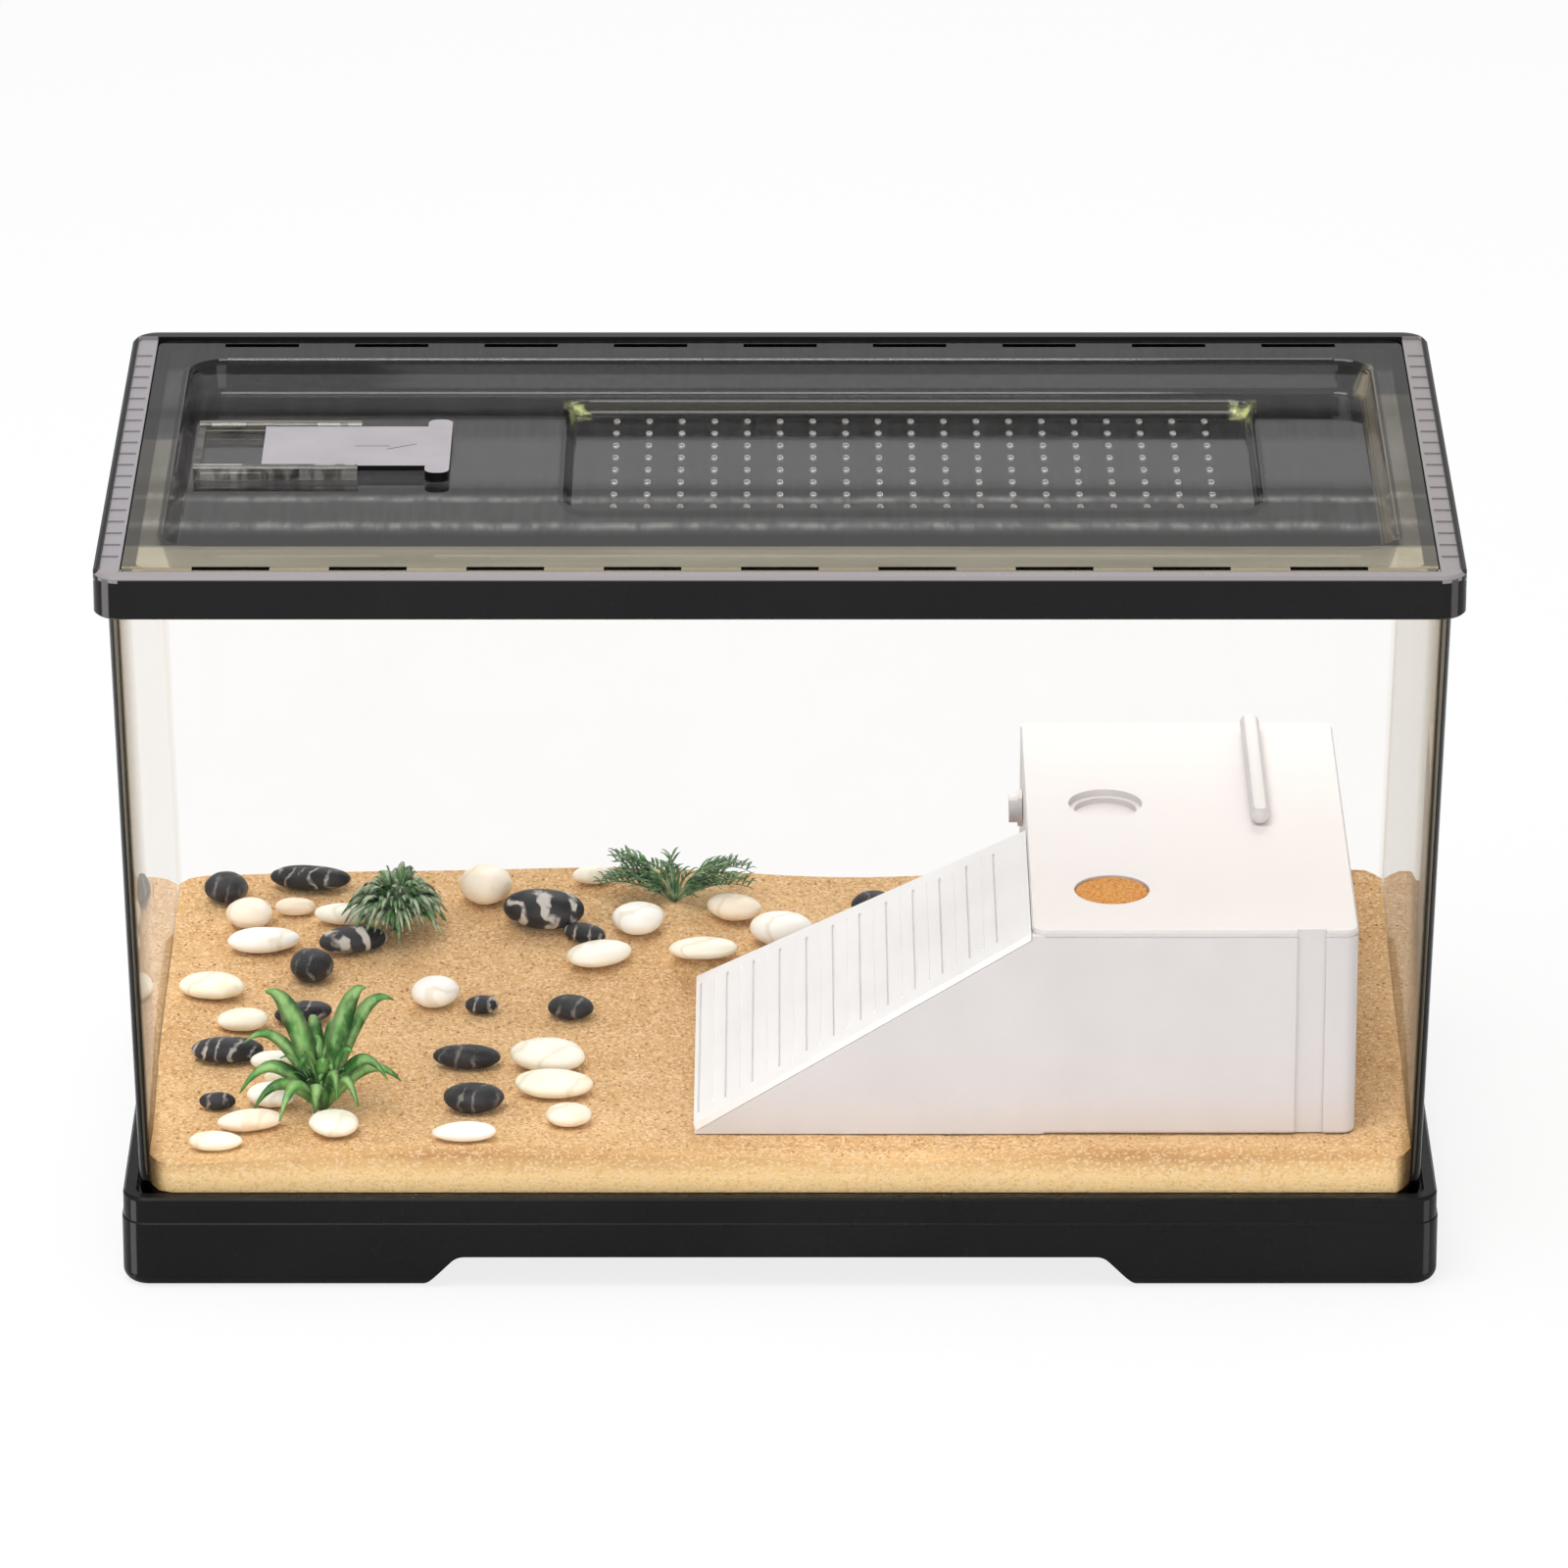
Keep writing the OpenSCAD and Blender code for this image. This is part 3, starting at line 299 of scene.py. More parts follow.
def relief(tree, height, strength, depth=0.0002):
    """Fine bumps up to a depth in metres."""
    return put(tree, "ShaderNodeBump",
               {"Height": height, "Strength": strength, "Distance": depth}).outputs[0]


def solid_shader(tree, out, tone, roughness, normal, **fixed):
    """Finishes a material that is not see-through; fixed are plain socket values."""
    shader = put(tree, "ShaderNodeBsdfPrincipled",
                 {"Base Color": tone, "Roughness": roughness, "Normal": normal, **fixed})
    tree.links.new(shader.outputs[0], out.inputs["Surface"])


def surface(name, colour, colour_2, drift=0.04, roughness=(0.3, 0.4), grain=0.0006, bump=0.05, zones=(),
            **fixed):
    """A solid finish: two near tones in soft blotches, uneven gloss and a fine texture.

    zones are (mask maker, colour) pairs that are painted over it."""
    material, tree, out = start_material(name)
    tone = blend_colours(tree, cloud(tree, drift), colour, colour_2)
    tone = layered(tree, tone, [(make_mask(tree), zone_colour) for make_mask, zone_colour in zones])
    texture = place_group(tree, GRAIN, {"Size": grain}).outputs["Height"]
    solid_shader(tree, out, tone, uneven(tree, drift / 3, *roughness), relief(tree, texture, bump), **fixed)
    return material


def see_through(name, tone_maker, transmission, roughness, ior, shade, dull=None):
    """Clear or smoky moulded plastic; its shadow is a tinted veil, so light reaches what it covers.

    dull makes a mask of places with little shine."""
    material, tree, out = start_material(name)
    shader = put(tree, "ShaderNodeBsdfPrincipled",
                 {"Base Color": tone_maker(tree), "Roughness": uneven(tree, 0.05, *roughness),
                  "Transmission Weight": transmission, "IOR": ior})
    if dull:
        tree.links.new(times(tree, minus(tree, 1.0, dull(tree)), 0.5), shader.inputs["Specular IOR Level"])
    veil = put(tree, "ShaderNodeBsdfTransparent", {"Color": shade})
    path = put(tree, "ShaderNodeLightPath")
    mix = put(tree, "ShaderNodeMixShader",
              {0: path.outputs["Is Shadow Ray"], 1: shader.outputs[0], 2: veil.outputs[0]})
    tree.links.new(mix.outputs[0], out.inputs["Surface"])
    return material


def spread(node, grow=0.0):
    """The lowest and highest corners of a node's box, moved outward by a margin."""
    low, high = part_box(node)
    return Vector(low) - Vector((grow,) * 3), Vector(high) + Vector((grow,) * 3)


FRAME_HIGH = spread("top_frame")[1]
TRAY_HIGH = spread("base_tray")[1]
TANK_HIGH = spread("tank_body")[1]
SAND_LOW = spread("sand_bed")[0]
LID_LOW, LID_HIGH = spread("lid_panel")
GUIDE_LOW, GUIDE_HIGH = spread("hatch_guide")
HATCH_LOW, HATCH_HIGH = spread("hatch_cover")

# Black tray and top frame
BAND_WALL = 2.5 * MM
END_STRIP = 9 * MM
RIM_W = 7.5 * MM
BAND_CORNER = 12 * MM
TRAY_CORNER = 12 * MM

# Slots in the lid's long borders, and the level of the ledge that the lid lies on
SLOT_PITCH = 60 * MM
SLOT_L = 34 * MM
SLOT_W = 4.5 * MM
SLOT_EDGE = 4.5 * MM
LID_UNDERSIDE = LID_HIGH.z - 2.4 * MM
LEDGE_LEVEL = (LID_UNDERSIDE - 0.4 * MM, LID_UNDERSIDE + 0.3 * MM)


def strip_reflection_zone(side):
    """The ribbed strip at one end of the top frame, with a painted reflection: light grey on its black
    plastic.
    """
    outer = FRAME_HIGH.x - BAND_WALL
    ends = (outer - END_STRIP, outer) if side > 0 else (-outer, END_STRIP - outer)

    def make(tree):
        return zone(tree, x=ends, z=above(LID_HIGH.z - 1.5 * MM))
    return make


def rim_highlight_zone(side):
    """The flat rim along the front or the back, painted lighter as a highlight."""
    edge = FRAME_HIGH.y - RIM_W

    def make(tree):
        return zone(tree, y=above(edge) if side > 0 else below(-edge), z=above(FRAME_HIGH.z - 1.9 * MM),
                    soft=0.0007)
    return make


def corner_gleam(side, box_high, corner, turn, width):
    """An upright streak of light on a rounded front corner, told by the way the surface faces, in degrees."""
    facing = Vector((side * math.sin(math.radians(turn)), -math.cos(math.radians(turn)), 0))
    start = box_high.x - corner

    def make(tree):
        toward = put(tree, "ShaderNodeVectorMath", {0: normal_of(tree), 1: facing},
                     operation="DOT_PRODUCT").outputs["Value"]
        limit = math.cos(math.radians(width))
        mask = calc(tree, "DIVIDE", minus(tree, toward, limit), (1 - limit) * 0.6, clamp=True)
        return times(tree, mask, zone(tree, x=above(start) if side > 0 else below(-start), y=below(0.0),
                                      z=below(box_high.z - 1.5 * MM), soft=0.0005))
    return make


def ledge_light_zone(tree):
    """The top of the ledge under the lid's front border, with painted light: as light as the border that lies
    on it.
    """
    return zone(tree, y=(LID_LOW.y - 1 * MM, LID_LOW.y + 12 * MM), z=LEDGE_LEVEL)


def under_slots(tree):
    """The ledge under the slots of the lid's front border, in their shade."""
    x = parts_of(tree, place_of(tree))[0]
    off = calc(tree, "ABSOLUTE", off_whole(tree, calc(tree, "DIVIDE", x, SLOT_PITCH)))
    beneath = calc(tree, "LESS_THAN", off, SLOT_L / SLOT_PITCH / 2)
    start = LID_LOW.y + SLOT_EDGE
    return times(tree, beneath, zone(tree, y=(start, start + SLOT_W), z=LEDGE_LEVEL))


def make_black_finishes():
    satin = {"drift": 0.09, "grain": 0.0004, "bump": 0.05, "Specular IOR Level": 0.12}
    # The tray's front corners have painted highlights.
    tray = surface(
        "tray_black", rgb(24, 24, 25), rgb(30, 30, 31), roughness=(0.2, 0.32),
        zones=[(corner_gleam(-1, TRAY_HIGH, TRAY_CORNER, 34, 9), rgb(88, 86, 88)),
               (corner_gleam(1, TRAY_HIGH, TRAY_CORNER, 34, 9), rgb(70, 69, 71))], **satin)
    # Painted on the frame's black: reflections on the end strips, highlights on the rims and front corners,
    # light on the ledge under the lid's front border and shade under its slots.
    frame_black = surface(
        "frame_black", rgb(30, 29, 30), rgb(35, 34, 35), roughness=(0.18, 0.3),
        zones=[(strip_reflection_zone(-1), rgb(158, 154, 158)), (strip_reflection_zone(1), rgb(156, 151, 150)),
               (rim_highlight_zone(-1), rgb(156, 150, 150)), (rim_highlight_zone(1), rgb(58, 56, 58)),
               (corner_gleam(-1, FRAME_HIGH, BAND_CORNER, 32, 10), rgb(124, 119, 121)),
               (corner_gleam(1, FRAME_HIGH, BAND_CORNER, 32, 10), rgb(92, 89, 91)),
               (ledge_light_zone, rgb(226, 214, 190)), (under_slots, rgb(10, 10, 11))], **satin)
    return tray, frame_black


# Clear tank, smoky lid and the hatch's rails
WALL_LEAN = 8 * MM
DECK_Z = 38 * MM


def wall_place(tree):
    """How far out to a side and how far forward a point lies, as if the walls stood upright, and its x."""
    x, y, z = parts_of(tree, place_of(tree))
    slope = WALL_LEAN / (TANK_HIGH.z - DECK_Z)
    lean = times(tree, minus(tree, z, DECK_Z), slope)
    out_x = minus(tree, calc(tree, "ABSOLUTE", x), lean)
    forward = minus(tree, times(tree, y, -1.0), lean)
    return out_x, forward, x


def beyond(tree, value, start, soft):
    """A mask that rises from 0 at a value to 1 a little further on."""
    return calc(tree, "DIVIDE", minus(tree, value, start), soft, clamp=True)


def wall_tone(tree):
    """Clear, with painted light and shade: tan where the right end is seen along its face, dark taupe in the
    front corners.
    """
    out_x, forward, x = wall_place(tree)
    foot_x = TANK_HIGH.x - WALL_LEAN
    foot_y = TANK_HIGH.y - WALL_LEAN
    ends = beyond(tree, out_x, foot_x - 4.5 * MM, 0.8 * MM)
    right = calc(tree, "GREATER_THAN", x, 0.0)
    along = put(tree, "ShaderNodeLayerWeight", {"Blend": 0.5}).outputs["Facing"]
    raking = times(tree, beyond(tree, along, 0.7, 0.2), right)
    front = beyond(tree, forward, foot_y - 15 * MM, 2 * MM)
    tone = blend_colours(tree, cloud(tree, 0.2), (0.985, 0.98, 0.97, 1), (0.995, 0.99, 0.985, 1))
    end_reflection = blend_colours(tree, raking, (0.88, 0.84, 0.78, 1), (0.36, 0.30, 0.22, 1))

    def corner(inward, soft):
        return times(tree, beyond(tree, out_x, foot_x - inward * MM, soft * MM), front)
    # Painted light and shade in the front corners: a beige veil, a dark band and a lighter outer edge.
    return layered(tree, tone, [
        (ends, end_reflection), (corner(12, 6), (0.52, 0.46, 0.38, 1)),
        (corner(6.5, 1.2), (0.036, 0.028, 0.017, 1)), (corner(3, 1.5), (0.11, 0.095, 0.068, 1))])


# The lid's sunken middle and the vent panel in it
SINK_FRONT = -118 * MM
SINK_BACK = 127 * MM
SINK_Z = LID_HIGH.z - 15 * MM
VENT_LOW = Vector((-98, -29, 318)) * MM
VENT_HIGH = Vector((218, 113, 326)) * MM
VENT_MIDDLE = (VENT_LOW + VENT_HIGH) / 2
VENT_EDGE_LEVEL = (SINK_Z - 9 * MM, SINK_Z + 1 * MM)
HOLE_PITCH_X = 15 * MM
HOLE_PITCH_Y = 16 * MM
DOT_X = 1.5 * MM
DOT_Y = 3.0 * MM

# Long bands of painted light and shade on the lid: start and end from front to back and soft edge in
# millimetres, then strength
LIGHT_BANDS = ((-4, 66, 12, 0.9), (100, 152, 10, 0.4))
DARK_BANDS = ((-84, -60, 5, 1.0), (80, 99, 5, 0.7), (-14, -3, 2, 0.8))
LIGHT_THREADS = ((-23, -15, 4, 1.0), (-59, -47, 6, 0.9))
# How far a band moves for a change in level, so that it looks straight from the camera
RUN_PER_DROP = 2.46


def cut_wall(tree):
    """Surfaces that stand upright, such as the wall of a hole."""
    return calc(tree, "LESS_THAN", calc(tree, "ABSOLUTE", upward(tree)), 0.3)


def slot_shade_walls(tree):
    """The walls of the slots in the long borders, painted black as the shade inside them."""
    outer = LID_HIGH.y - SLOT_EDGE + 0.5 * MM
    inner = outer - SLOT_W - 1 * MM
    walls = either(tree, [zone(tree, y=row, z=above(LID_UNDERSIDE - 0.1 * MM))
                          for row in ((-outer, -inner), (inner, outer))])
    return times(tree, walls, cut_wall(tree))


def hole_walls(tree):
    """The walls of the vent holes, which catch the light."""
    return times(tree, zone(tree, *zip(VENT_LOW, VENT_HIGH)), cut_wall(tree))


def vent_dots(tree):
    """The lit rims of the vent holes: 19 columns and 8 rows of small ovals."""
    x, y, _ = parts_of(tree, place_of(tree))
    across = calc(tree, "DIVIDE", minus(tree, x, VENT_MIDDLE.x), HOLE_PITCH_X)
    back = plus(tree, calc(tree, "DIVIDE", minus(tree, y, VENT_MIDDLE.y), HOLE_PITCH_Y), 0.5)
    off_x = times(tree, off_whole(tree, across), HOLE_PITCH_X / DOT_X)
    off_y = times(tree, off_whole(tree, back), HOLE_PITCH_Y / DOT_Y)
    off = plus(tree, times(tree, off_x, off_x), times(tree, off_y, off_y))
    half_rows = 62 * MM
    rows = zone(tree, x=(VENT_LOW.x + HOLE_PITCH_X, VENT_HIGH.x - HOLE_PITCH_X),
                y=(VENT_MIDDLE.y - half_rows, VENT_MIDDLE.y + half_rows), z=below(SINK_Z - 4 * MM))
    return times(tree, calc(tree, "LESS_THAN", off, 1.0), rows)


def lid_run(tree):
    """How far back a point lies; a lower floor counts as further forward, so bands run on over a step."""
    _, y, z = parts_of(tree, place_of(tree))
    waver = times(tree, minus(tree, cloud(tree, 0.03, 1.0, (1.0, 0.05, 1.0)), 0.5), 2.5 * MM)
    drop = times(tree, minus(tree, z, SINK_Z), RUN_PER_DROP)
    return plus(tree, plus(tree, y, drop), waver)


def long_bands(tree, run, bands):
    """The strongest of several bands that run along the lid."""
    masks = []
    for low, high, soft, share in bands:
        inside = calc(tree, "MINIMUM", minus(tree, run, low * MM), minus(tree, high * MM, run))
        masks.append(times(tree, calc(tree, "DIVIDE", inside, soft * MM, clamp=True), share))
    return either(tree, masks)


def lid_smoke(tree):
    """Smoke grey with long bands of painted light and shade, beaded threads of painted light and fine streaks
    of painted sheen across.
    """
    run = lid_run(tree)
    tone = blend_colours(tree, cloud(tree, 0.03, 1.2, (0.05, 1.0, 1.0)), (0.034, 0.033, 0.032, 1),
                         (0.055, 0.054, 0.053, 1))
    streak_sheen = cloud(tree, 0.0032, 1.5, (1.0, 0.05, 1.0))
    beads = plus(tree, times(tree, cloud(tree, 0.006, 2.0, (1.0, 0.1, 1.0)), 0.7), 0.3)
    return layered(tree, tone, [
        (long_bands(tree, run, LIGHT_BANDS), (0.105, 0.102, 0.105, 1)),
        (times(tree, streak_sheen, 0.3), (0.12, 0.118, 0.12, 1)),
        (times(tree, long_bands(tree, run, DARK_BANDS), 0.85), (0.008, 0.007, 0.006, 1)),
        (times(tree, long_bands(tree, run, LIGHT_THREADS), beads), (0.40, 0.39, 0.37, 1))])


def vent_edges(tree):
    """Layers for the dark slope behind the vent panel and the green glints at its back corners."""
    left, right = VENT_LOW.x + 5 * MM, VENT_HIGH.x - 5 * MM
    back = VENT_HIGH.y + 1 * MM
    slope = zone(tree, x=(left, right), y=(back - 6 * MM, back), z=VENT_EDGE_LEVEL, soft=0.0008)
    corners = either(tree, [zone(tree, x=(x - 7 * MM, x + 7 * MM), y=(back - 15 * MM, back),
                                 z=VENT_EDGE_LEVEL, soft=0.003) for x in (left, right)])
    return [(times(tree, slope, 0.7), (0.05, 0.048, 0.03, 1)),
            (times(tree, corners, cloud(tree, 0.006, 2.0)), (0.62, 0.66, 0.28, 1))]


def lid_borders(tree):
    """Layers of painted light: tan over the front border, the end borders and the right wall, and painted
    highlights along the front and the back.
    """
    level = above(LID_HIGH.z - 3.2 * MM)
    tan = blend_colours(tree, cloud(tree, 0.012, 1.0, (0.15, 1.0, 1.0)), (0.50, 0.45, 0.33, 1),
                        (0.64, 0.59, 0.45, 1))
    front = zone(tree, y=below(SINK_FRONT + 1.5 * MM), z=level, soft=0.001)
    sides = either(tree, [zone(tree, x=below(-0.2715), y=below(0.02), z=level, soft=0.006),
                          zone(tree, x=above(0.2715), y=below(0.08), z=level, soft=0.006)])
    right_wall = zone(tree, x=(0.264, 0.2735), y=(-0.11, 0.12), z=above(SINK_Z), soft=0.001)
    back_line = (SINK_BACK - 0.6 * MM, SINK_BACK + 0.6 * MM)
    edge_highlights = either(tree, [zone(tree, x=(-0.152, 0.255), y=(-0.1303, -0.1278), z=level, soft=0.0005),
                          zone(tree, x=(-0.247, -0.175), y=(-0.1303, -0.1283), z=level, soft=0.0008),
                          zone(tree, x=(-0.255, 0.255), y=back_line, z=level)])
    return [(front, tan), (times(tree, sides, 0.6), tan),
            (times(tree, right_wall, 0.7), (0.42, 0.37, 0.27, 1)),
            (times(tree, edge_highlights, 0.8), (0.86, 0.84, 0.68, 1))]


def lid_tone(tree):
    """The lid's smoke, then its vent edges and borders with their painted light, lit hole rims and slots
    painted black as shade.
    """
    lit = either(tree, [hole_walls(tree), vent_dots(tree)])
    return layered(tree, lid_smoke(tree), vent_edges(tree) + lid_borders(tree) + [
        (lit, (0.97, 0.95, 0.92, 1)), (slot_shade_walls(tree), (0.001, 0.001, 0.001, 1))])


def rail_tone(tree):
    """Smoky like the lid, with painted cream highlights broken up along the rails, a tan line at the back and
    a pale front painted as a highlight.
    """
    rail_w = 5.5 * MM
    front = GUIDE_LOW.y + rail_w
    back = GUIDE_HIGH.y - rail_w
    top = GUIDE_HIGH.z
    tone = blend_colours(tree, cloud(tree, 0.007, 2.0, (0.5, 1, 1)), (0.16, 0.155, 0.14, 1),
                         (0.34, 0.33, 0.30, 1))
    back_line = zone(tree, y=above(back + 2 * MM), z=above(top - 3 * MM), soft=0.0008)
    highlight_dashes = calc(tree, "GREATER_THAN", cloud(tree, 0.014, 1.5, (1.0, 0.02, 0.02)), 0.5)
    inner = either(tree, [zone(tree, y=y, z=above(top - 1.5 * MM), soft=0.0006)
                          for y in ((front - 3.4 * MM, front), (back, back + 2.2 * MM))])
    face = zone(tree, y=below(GUIDE_LOW.y + 1 * MM), z=below(top - 0.6 * MM), soft=0.0006)
    return layered(tree, tone, [
        (times(tree, back_line, 0.9), (0.62, 0.50, 0.36, 1)),
        (times(tree, inner, highlight_dashes), (0.99, 0.97, 0.9, 1)),
        (times(tree, face, cloud(tree, 0.004, 2.0, (1.0, 1.0, 0.3))), (0.95, 0.93, 0.88, 1))])


def hatch_side_shade(tree):
    """The cover's upright edges and its underside, painted black as shade."""
    return calc(tree, "LESS_THAN", upward(tree), 0.5)


def dress_clear_pieces():
    # The walls' low refraction figure keeps the view through them clear, without twin reflections
    paint("tank_body", see_through("clear_wall", wall_tone, 1.0, (0.0, 0.015), 1.15,
                                   (0.97, 0.965, 0.95, 1)))
    paint("lid_panel", see_through("smoke_lid", lid_tone, 0.8, (0.03, 0.09), 1.42,
                                   (0.86, 0.855, 0.85, 1), slot_shade_walls))
    paint("hatch_guide", see_through("clear_rail", rail_tone, 0.75, (0.05, 0.15), 1.49,
                                     (0.9, 0.88, 0.84, 1)))
    paint("hatch_cover", surface(
        "hatch_grey", rgb(168, 163, 168), rgb(177, 172, 176), drift=0.03, roughness=(0.35, 0.45),
        grain=0.0005, zones=[(hatch_side_shade, rgb(14, 14, 15))], **{"Specular IOR Level": 0.25}))


def paint(node, material):
    """Gives a CAD node its material, in place of the plain one it came with."""
    slots = cad_nodes[node].data.materials
    slots.clear()
    slots.append(material)


def lit_level_faces(tree):
    """The level faces of a piece, painted brighter as light from above."""
    return calc(tree, "GREATER_THAN", upward(tree), 0.8)


def dress_solid_pieces():
    tray, frame_black = make_black_finishes()
    # The platform is painted darker on its sides as shade and lighter on its level faces as light from above.
    shell = surface("platform_white", rgb(207, 203, 204), rgb(213, 209, 210), drift=0.06,
                    roughness=(0.32, 0.45), grain=0.0009, bump=0.05, zones=[(lit_level_faces, rgb(247, 241, 239))])
    ramp = surface("ramp_white", rgb(239, 238, 239), rgb(245, 244, 245), drift=0.05, roughness=(0.4, 0.55),
                   grain=0.0008, bump=0.06)
    pump = surface("pump_black", rgb(40, 40, 42), rgb(50, 50, 52), drift=0.02, roughness=(0.45, 0.6),
                   bump=0.15)
    foam = surface("filter_foam", rgb(42, 58, 50), rgb(58, 76, 66), drift=0.01, roughness=(0.85, 0.95),
                   grain=0.0018, bump=0.9)
    for material, nodes in (
            (tray, ["base_tray"]), (frame_black, ["top_frame"]), (ramp, ["ramp_board"]),
            (shell, ["platform_box", "platform_cover", "outlet_spout", "top_tube"]),
            (pump, ["outlet_pipe", "pump_body", "pump_grille"]), (foam, ["filter_sponge"])):
        for node in nodes:
            paint(node, material)


# Mesh helpers
def mesh_piece(name, bm, body, material, replaces=(), smooth=True):
    """Turns a bmesh into a piece that rides on a body."""
    bmesh.ops.recalc_face_normals(bm, faces=bm.faces)
    mesh = bpy.data.meshes.new(name)
    bm.to_mesh(mesh)
    bm.free()
    return finish_piece(name, mesh, body, material, replaces, smooth)


def finish_piece(name, mesh, body, material, replaces, smooth):
    """Places a mesh in the scene as a piece that rides on a body."""
    mesh.materials.append(material)
    for face in mesh.polygons:
        face.use_smooth = smooth
    piece = add_object(name, mesh)
    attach(piece, body)
    if replaces:
        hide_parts(*replaces)
    return piece


def solid_copy(node):
    """A CAD node's own shape as a joined-up bmesh."""
    bm = bmesh.new()
    bm.from_mesh(cad_nodes[node].data)
    bmesh.ops.remove_doubles(bm, verts=bm.verts, dist=0.00002)
    return bm


# Sand
# How far the sand stays below the platform, and from what angle in radians an edge is crisp
SAND_GAP = 0.4 * MM
CRISP_ANGLE = 0.9


def sand_material():
    """Golden grains in soft drifts; the front face is layered, with painted light that makes it brightest at
    its foot.
    """
    material, tree, out = start_material("golden_sand")
    drifts = blend_colours(tree, cloud(tree, 0.07), rgb(214, 172, 120), rgb(229, 190, 140))
    streak = cloud(tree, 0.012, 0.8, (0.12, 0.5, 2.0))
    face = zone(tree, y=below(SAND_LOW.y + 12 * MM), soft=0.01)
    # Painted light on the lowest part of the front face.
    foot = zone(tree, y=below(SAND_LOW.y + 14 * MM), z=below(SAND_LOW.z + 20 * MM), soft=0.012)
    layers = blend_colours(tree, cloud(tree, 0.01, 1.3, (0.1, 0.3, 1.6)), rgb(214, 166, 111),
                           rgb(180, 128, 77))
    grain = place_group(tree, GRAIN, {"Size": 0.0011})
    light = calc(tree, "GREATER_THAN", grain.outputs["Speck"], 0.78)
    dark = calc(tree, "LESS_THAN", grain.outputs["Speck"], 0.16)
    dark_share = minus(tree, 0.45, times(tree, face, 0.27))
    tone = layered(tree, drifts, [
        (times(tree, streak, 0.5), rgb(202, 156, 102)), (times(tree, face, 0.9), layers),
        (times(tree, foot, 0.8), rgb(255, 221, 161)), (times(tree, light, 0.5), rgb(246, 222, 184)),
        (times(tree, dark, dark_share), rgb(160, 110, 66))])
    solid_shader(tree, out, tone, plus(tree, times(tree, streak, 0.1), 0.8),
                 relief(tree, grain.outputs["Height"], 0.7, 0.0006), **{"Specular IOR Level": 0.25})
    return material


COVERED_GROUND = [spread(node, 3 * MM) for node in ("platform_box", "ramp_board")]


def under_platform(x, y):
    """True over the ground that the platform and its ramp cover, with a small margin."""
    return any(low.x < x < high.x and low.y < y < high.y for low, high in COVERED_GROUND)


def ripple(x, y):
    """Small uneven heights of loose sand."""
    broad = noise.noise(Vector((x * 45, y * 90, 1.7)))
    fine = noise.noise(Vector((x * 190, y * 260, 5.1)))
    return (0.7 * broad + 0.35 * fine) * MM


def make_sand():
    """The bed's own solid with a finer, rippled top; its foot and its upper edges stay crisp."""
    def on_top(face):
        return face.normal.z > 0.3

    bm = solid_copy("sand_bed")
    top = {face for face in bm.faces if on_top(face)}
    edges = [edge for edge in bm.edges if all(face in top for face in edge.link_faces)]
    bmesh.ops.subdivide_edges(bm, edges=edges, cuts=3, use_grid_fill=True)
    bm.normal_update()
    inner = [v for v in bm.verts if all(on_top(face) for face in v.link_faces)]
    for _ in range(3):
        bmesh.ops.smooth_vert(bm, verts=inner, factor=0.5, use_axis_x=False, use_axis_y=False,
                              use_axis_z=True)
    for v in inner:
        rise = ripple(v.co.x, v.co.y)
        v.co.z += min(rise, 0) - SAND_GAP if under_platform(v.co.x, v.co.y) else rise
    bm.normal_update()
    for edge in bm.edges:
        edge.smooth = edge.calc_face_angle(0.0) < CRISP_ANGLE
    return mesh_piece("sand_surface", bm, TANK, sand_material(), ["sand_bed"])


def scatter(name, template, placements, material, replaces=(), smooth=True, extra=None):
    """One piece made of many copies of a small closed shape; placements are matrices."""
    corners = [v.co.copy() for v in template.verts]
    faces = [[v.index for v in face.verts] for face in template.faces]
    points, polygons = ([], []) if extra is None else extra
    for place in placements:
        start = len(points)
        points.extend(place @ corner for corner in corners)
        polygons.extend([start + k for k in face] for face in faces)
    template.free()
    mesh = bpy.data.meshes.new(name)
    mesh.from_pydata(points, [], polygons)
    finish_piece(name, mesh, TANK, material, replaces, smooth)


def make_loose_grains(sand, count=2600):
    """Coarse grains that lie on the sand."""
    rng = random.Random(11)
    low, high = spread("sand_bed", -4 * MM)
    template = bmesh.new()
    bmesh.ops.create_icosphere(template, subdivisions=1, radius=1)
    placements = []
    for _ in range(count):
        x = rng.uniform(low.x, high.x)
        y = rng.uniform(low.y, high.y)
        hit, point, _, _ = sand.ray_cast(Vector((x, y, 1)), Vector((0, 0, -1)))
        if not hit or under_platform(x, y):
            continue
        size = rng.uniform(0.35, 0.75) * MM
        turn = Matrix.Rotation(rng.uniform(0, 3.1), 4, Vector((rng.random(), rng.random(), 0.2)).normalized())
        shape = Matrix.Diagonal((size * 1.3, size, size * 0.8, 1))
        placements.append(Matrix.Translation(point + Vector((0, 0, size * 0.4))) @ turn @ shape)
    grain = surface("sand_grain", rgb(232, 200, 152), rgb(168, 120, 74), drift=0.0015, roughness=(0.5, 0.7),
                    bump=0.2)
    scatter("loose_grains", template, placements, grain)


# Pebbles
WHITE_PEBBLES = 24
BLACK_PEBBLES = 14
# Which of the black pebbles have many thin veins, and which have a few broad ones
STRIPED = (2, 3, 6, 8, 9, 10, 13)
BOLD = (3, 5)


def cream_stone(name, light, dark):
    """A pale water-worn stone with soft clouding and a few faint marks."""
    material, tree, out = start_material(name)
    tone = blend_colours(tree, cloud(tree, 0.018, 1.2), light, dark)
    marks = place_group(tree, VEINS, {"Spacing": 0.016, "Turn": 0.9, "Width": 0.12}).outputs["Mask"]
    tone = blend_colours(tree, times(tree, marks, 0.35), tone, rgb(214, 190, 150))
    pits = place_group(tree, GRAIN, {"Size": 0.0012}).outputs["Height"]
    solid_shader(tree, out, tone, uneven(tree, 0.01, 0.3, 0.45), relief(tree, pits, 0.1),
                 **{"Subsurface Weight": 0.05, "Subsurface Scale": 0.003})
    return material


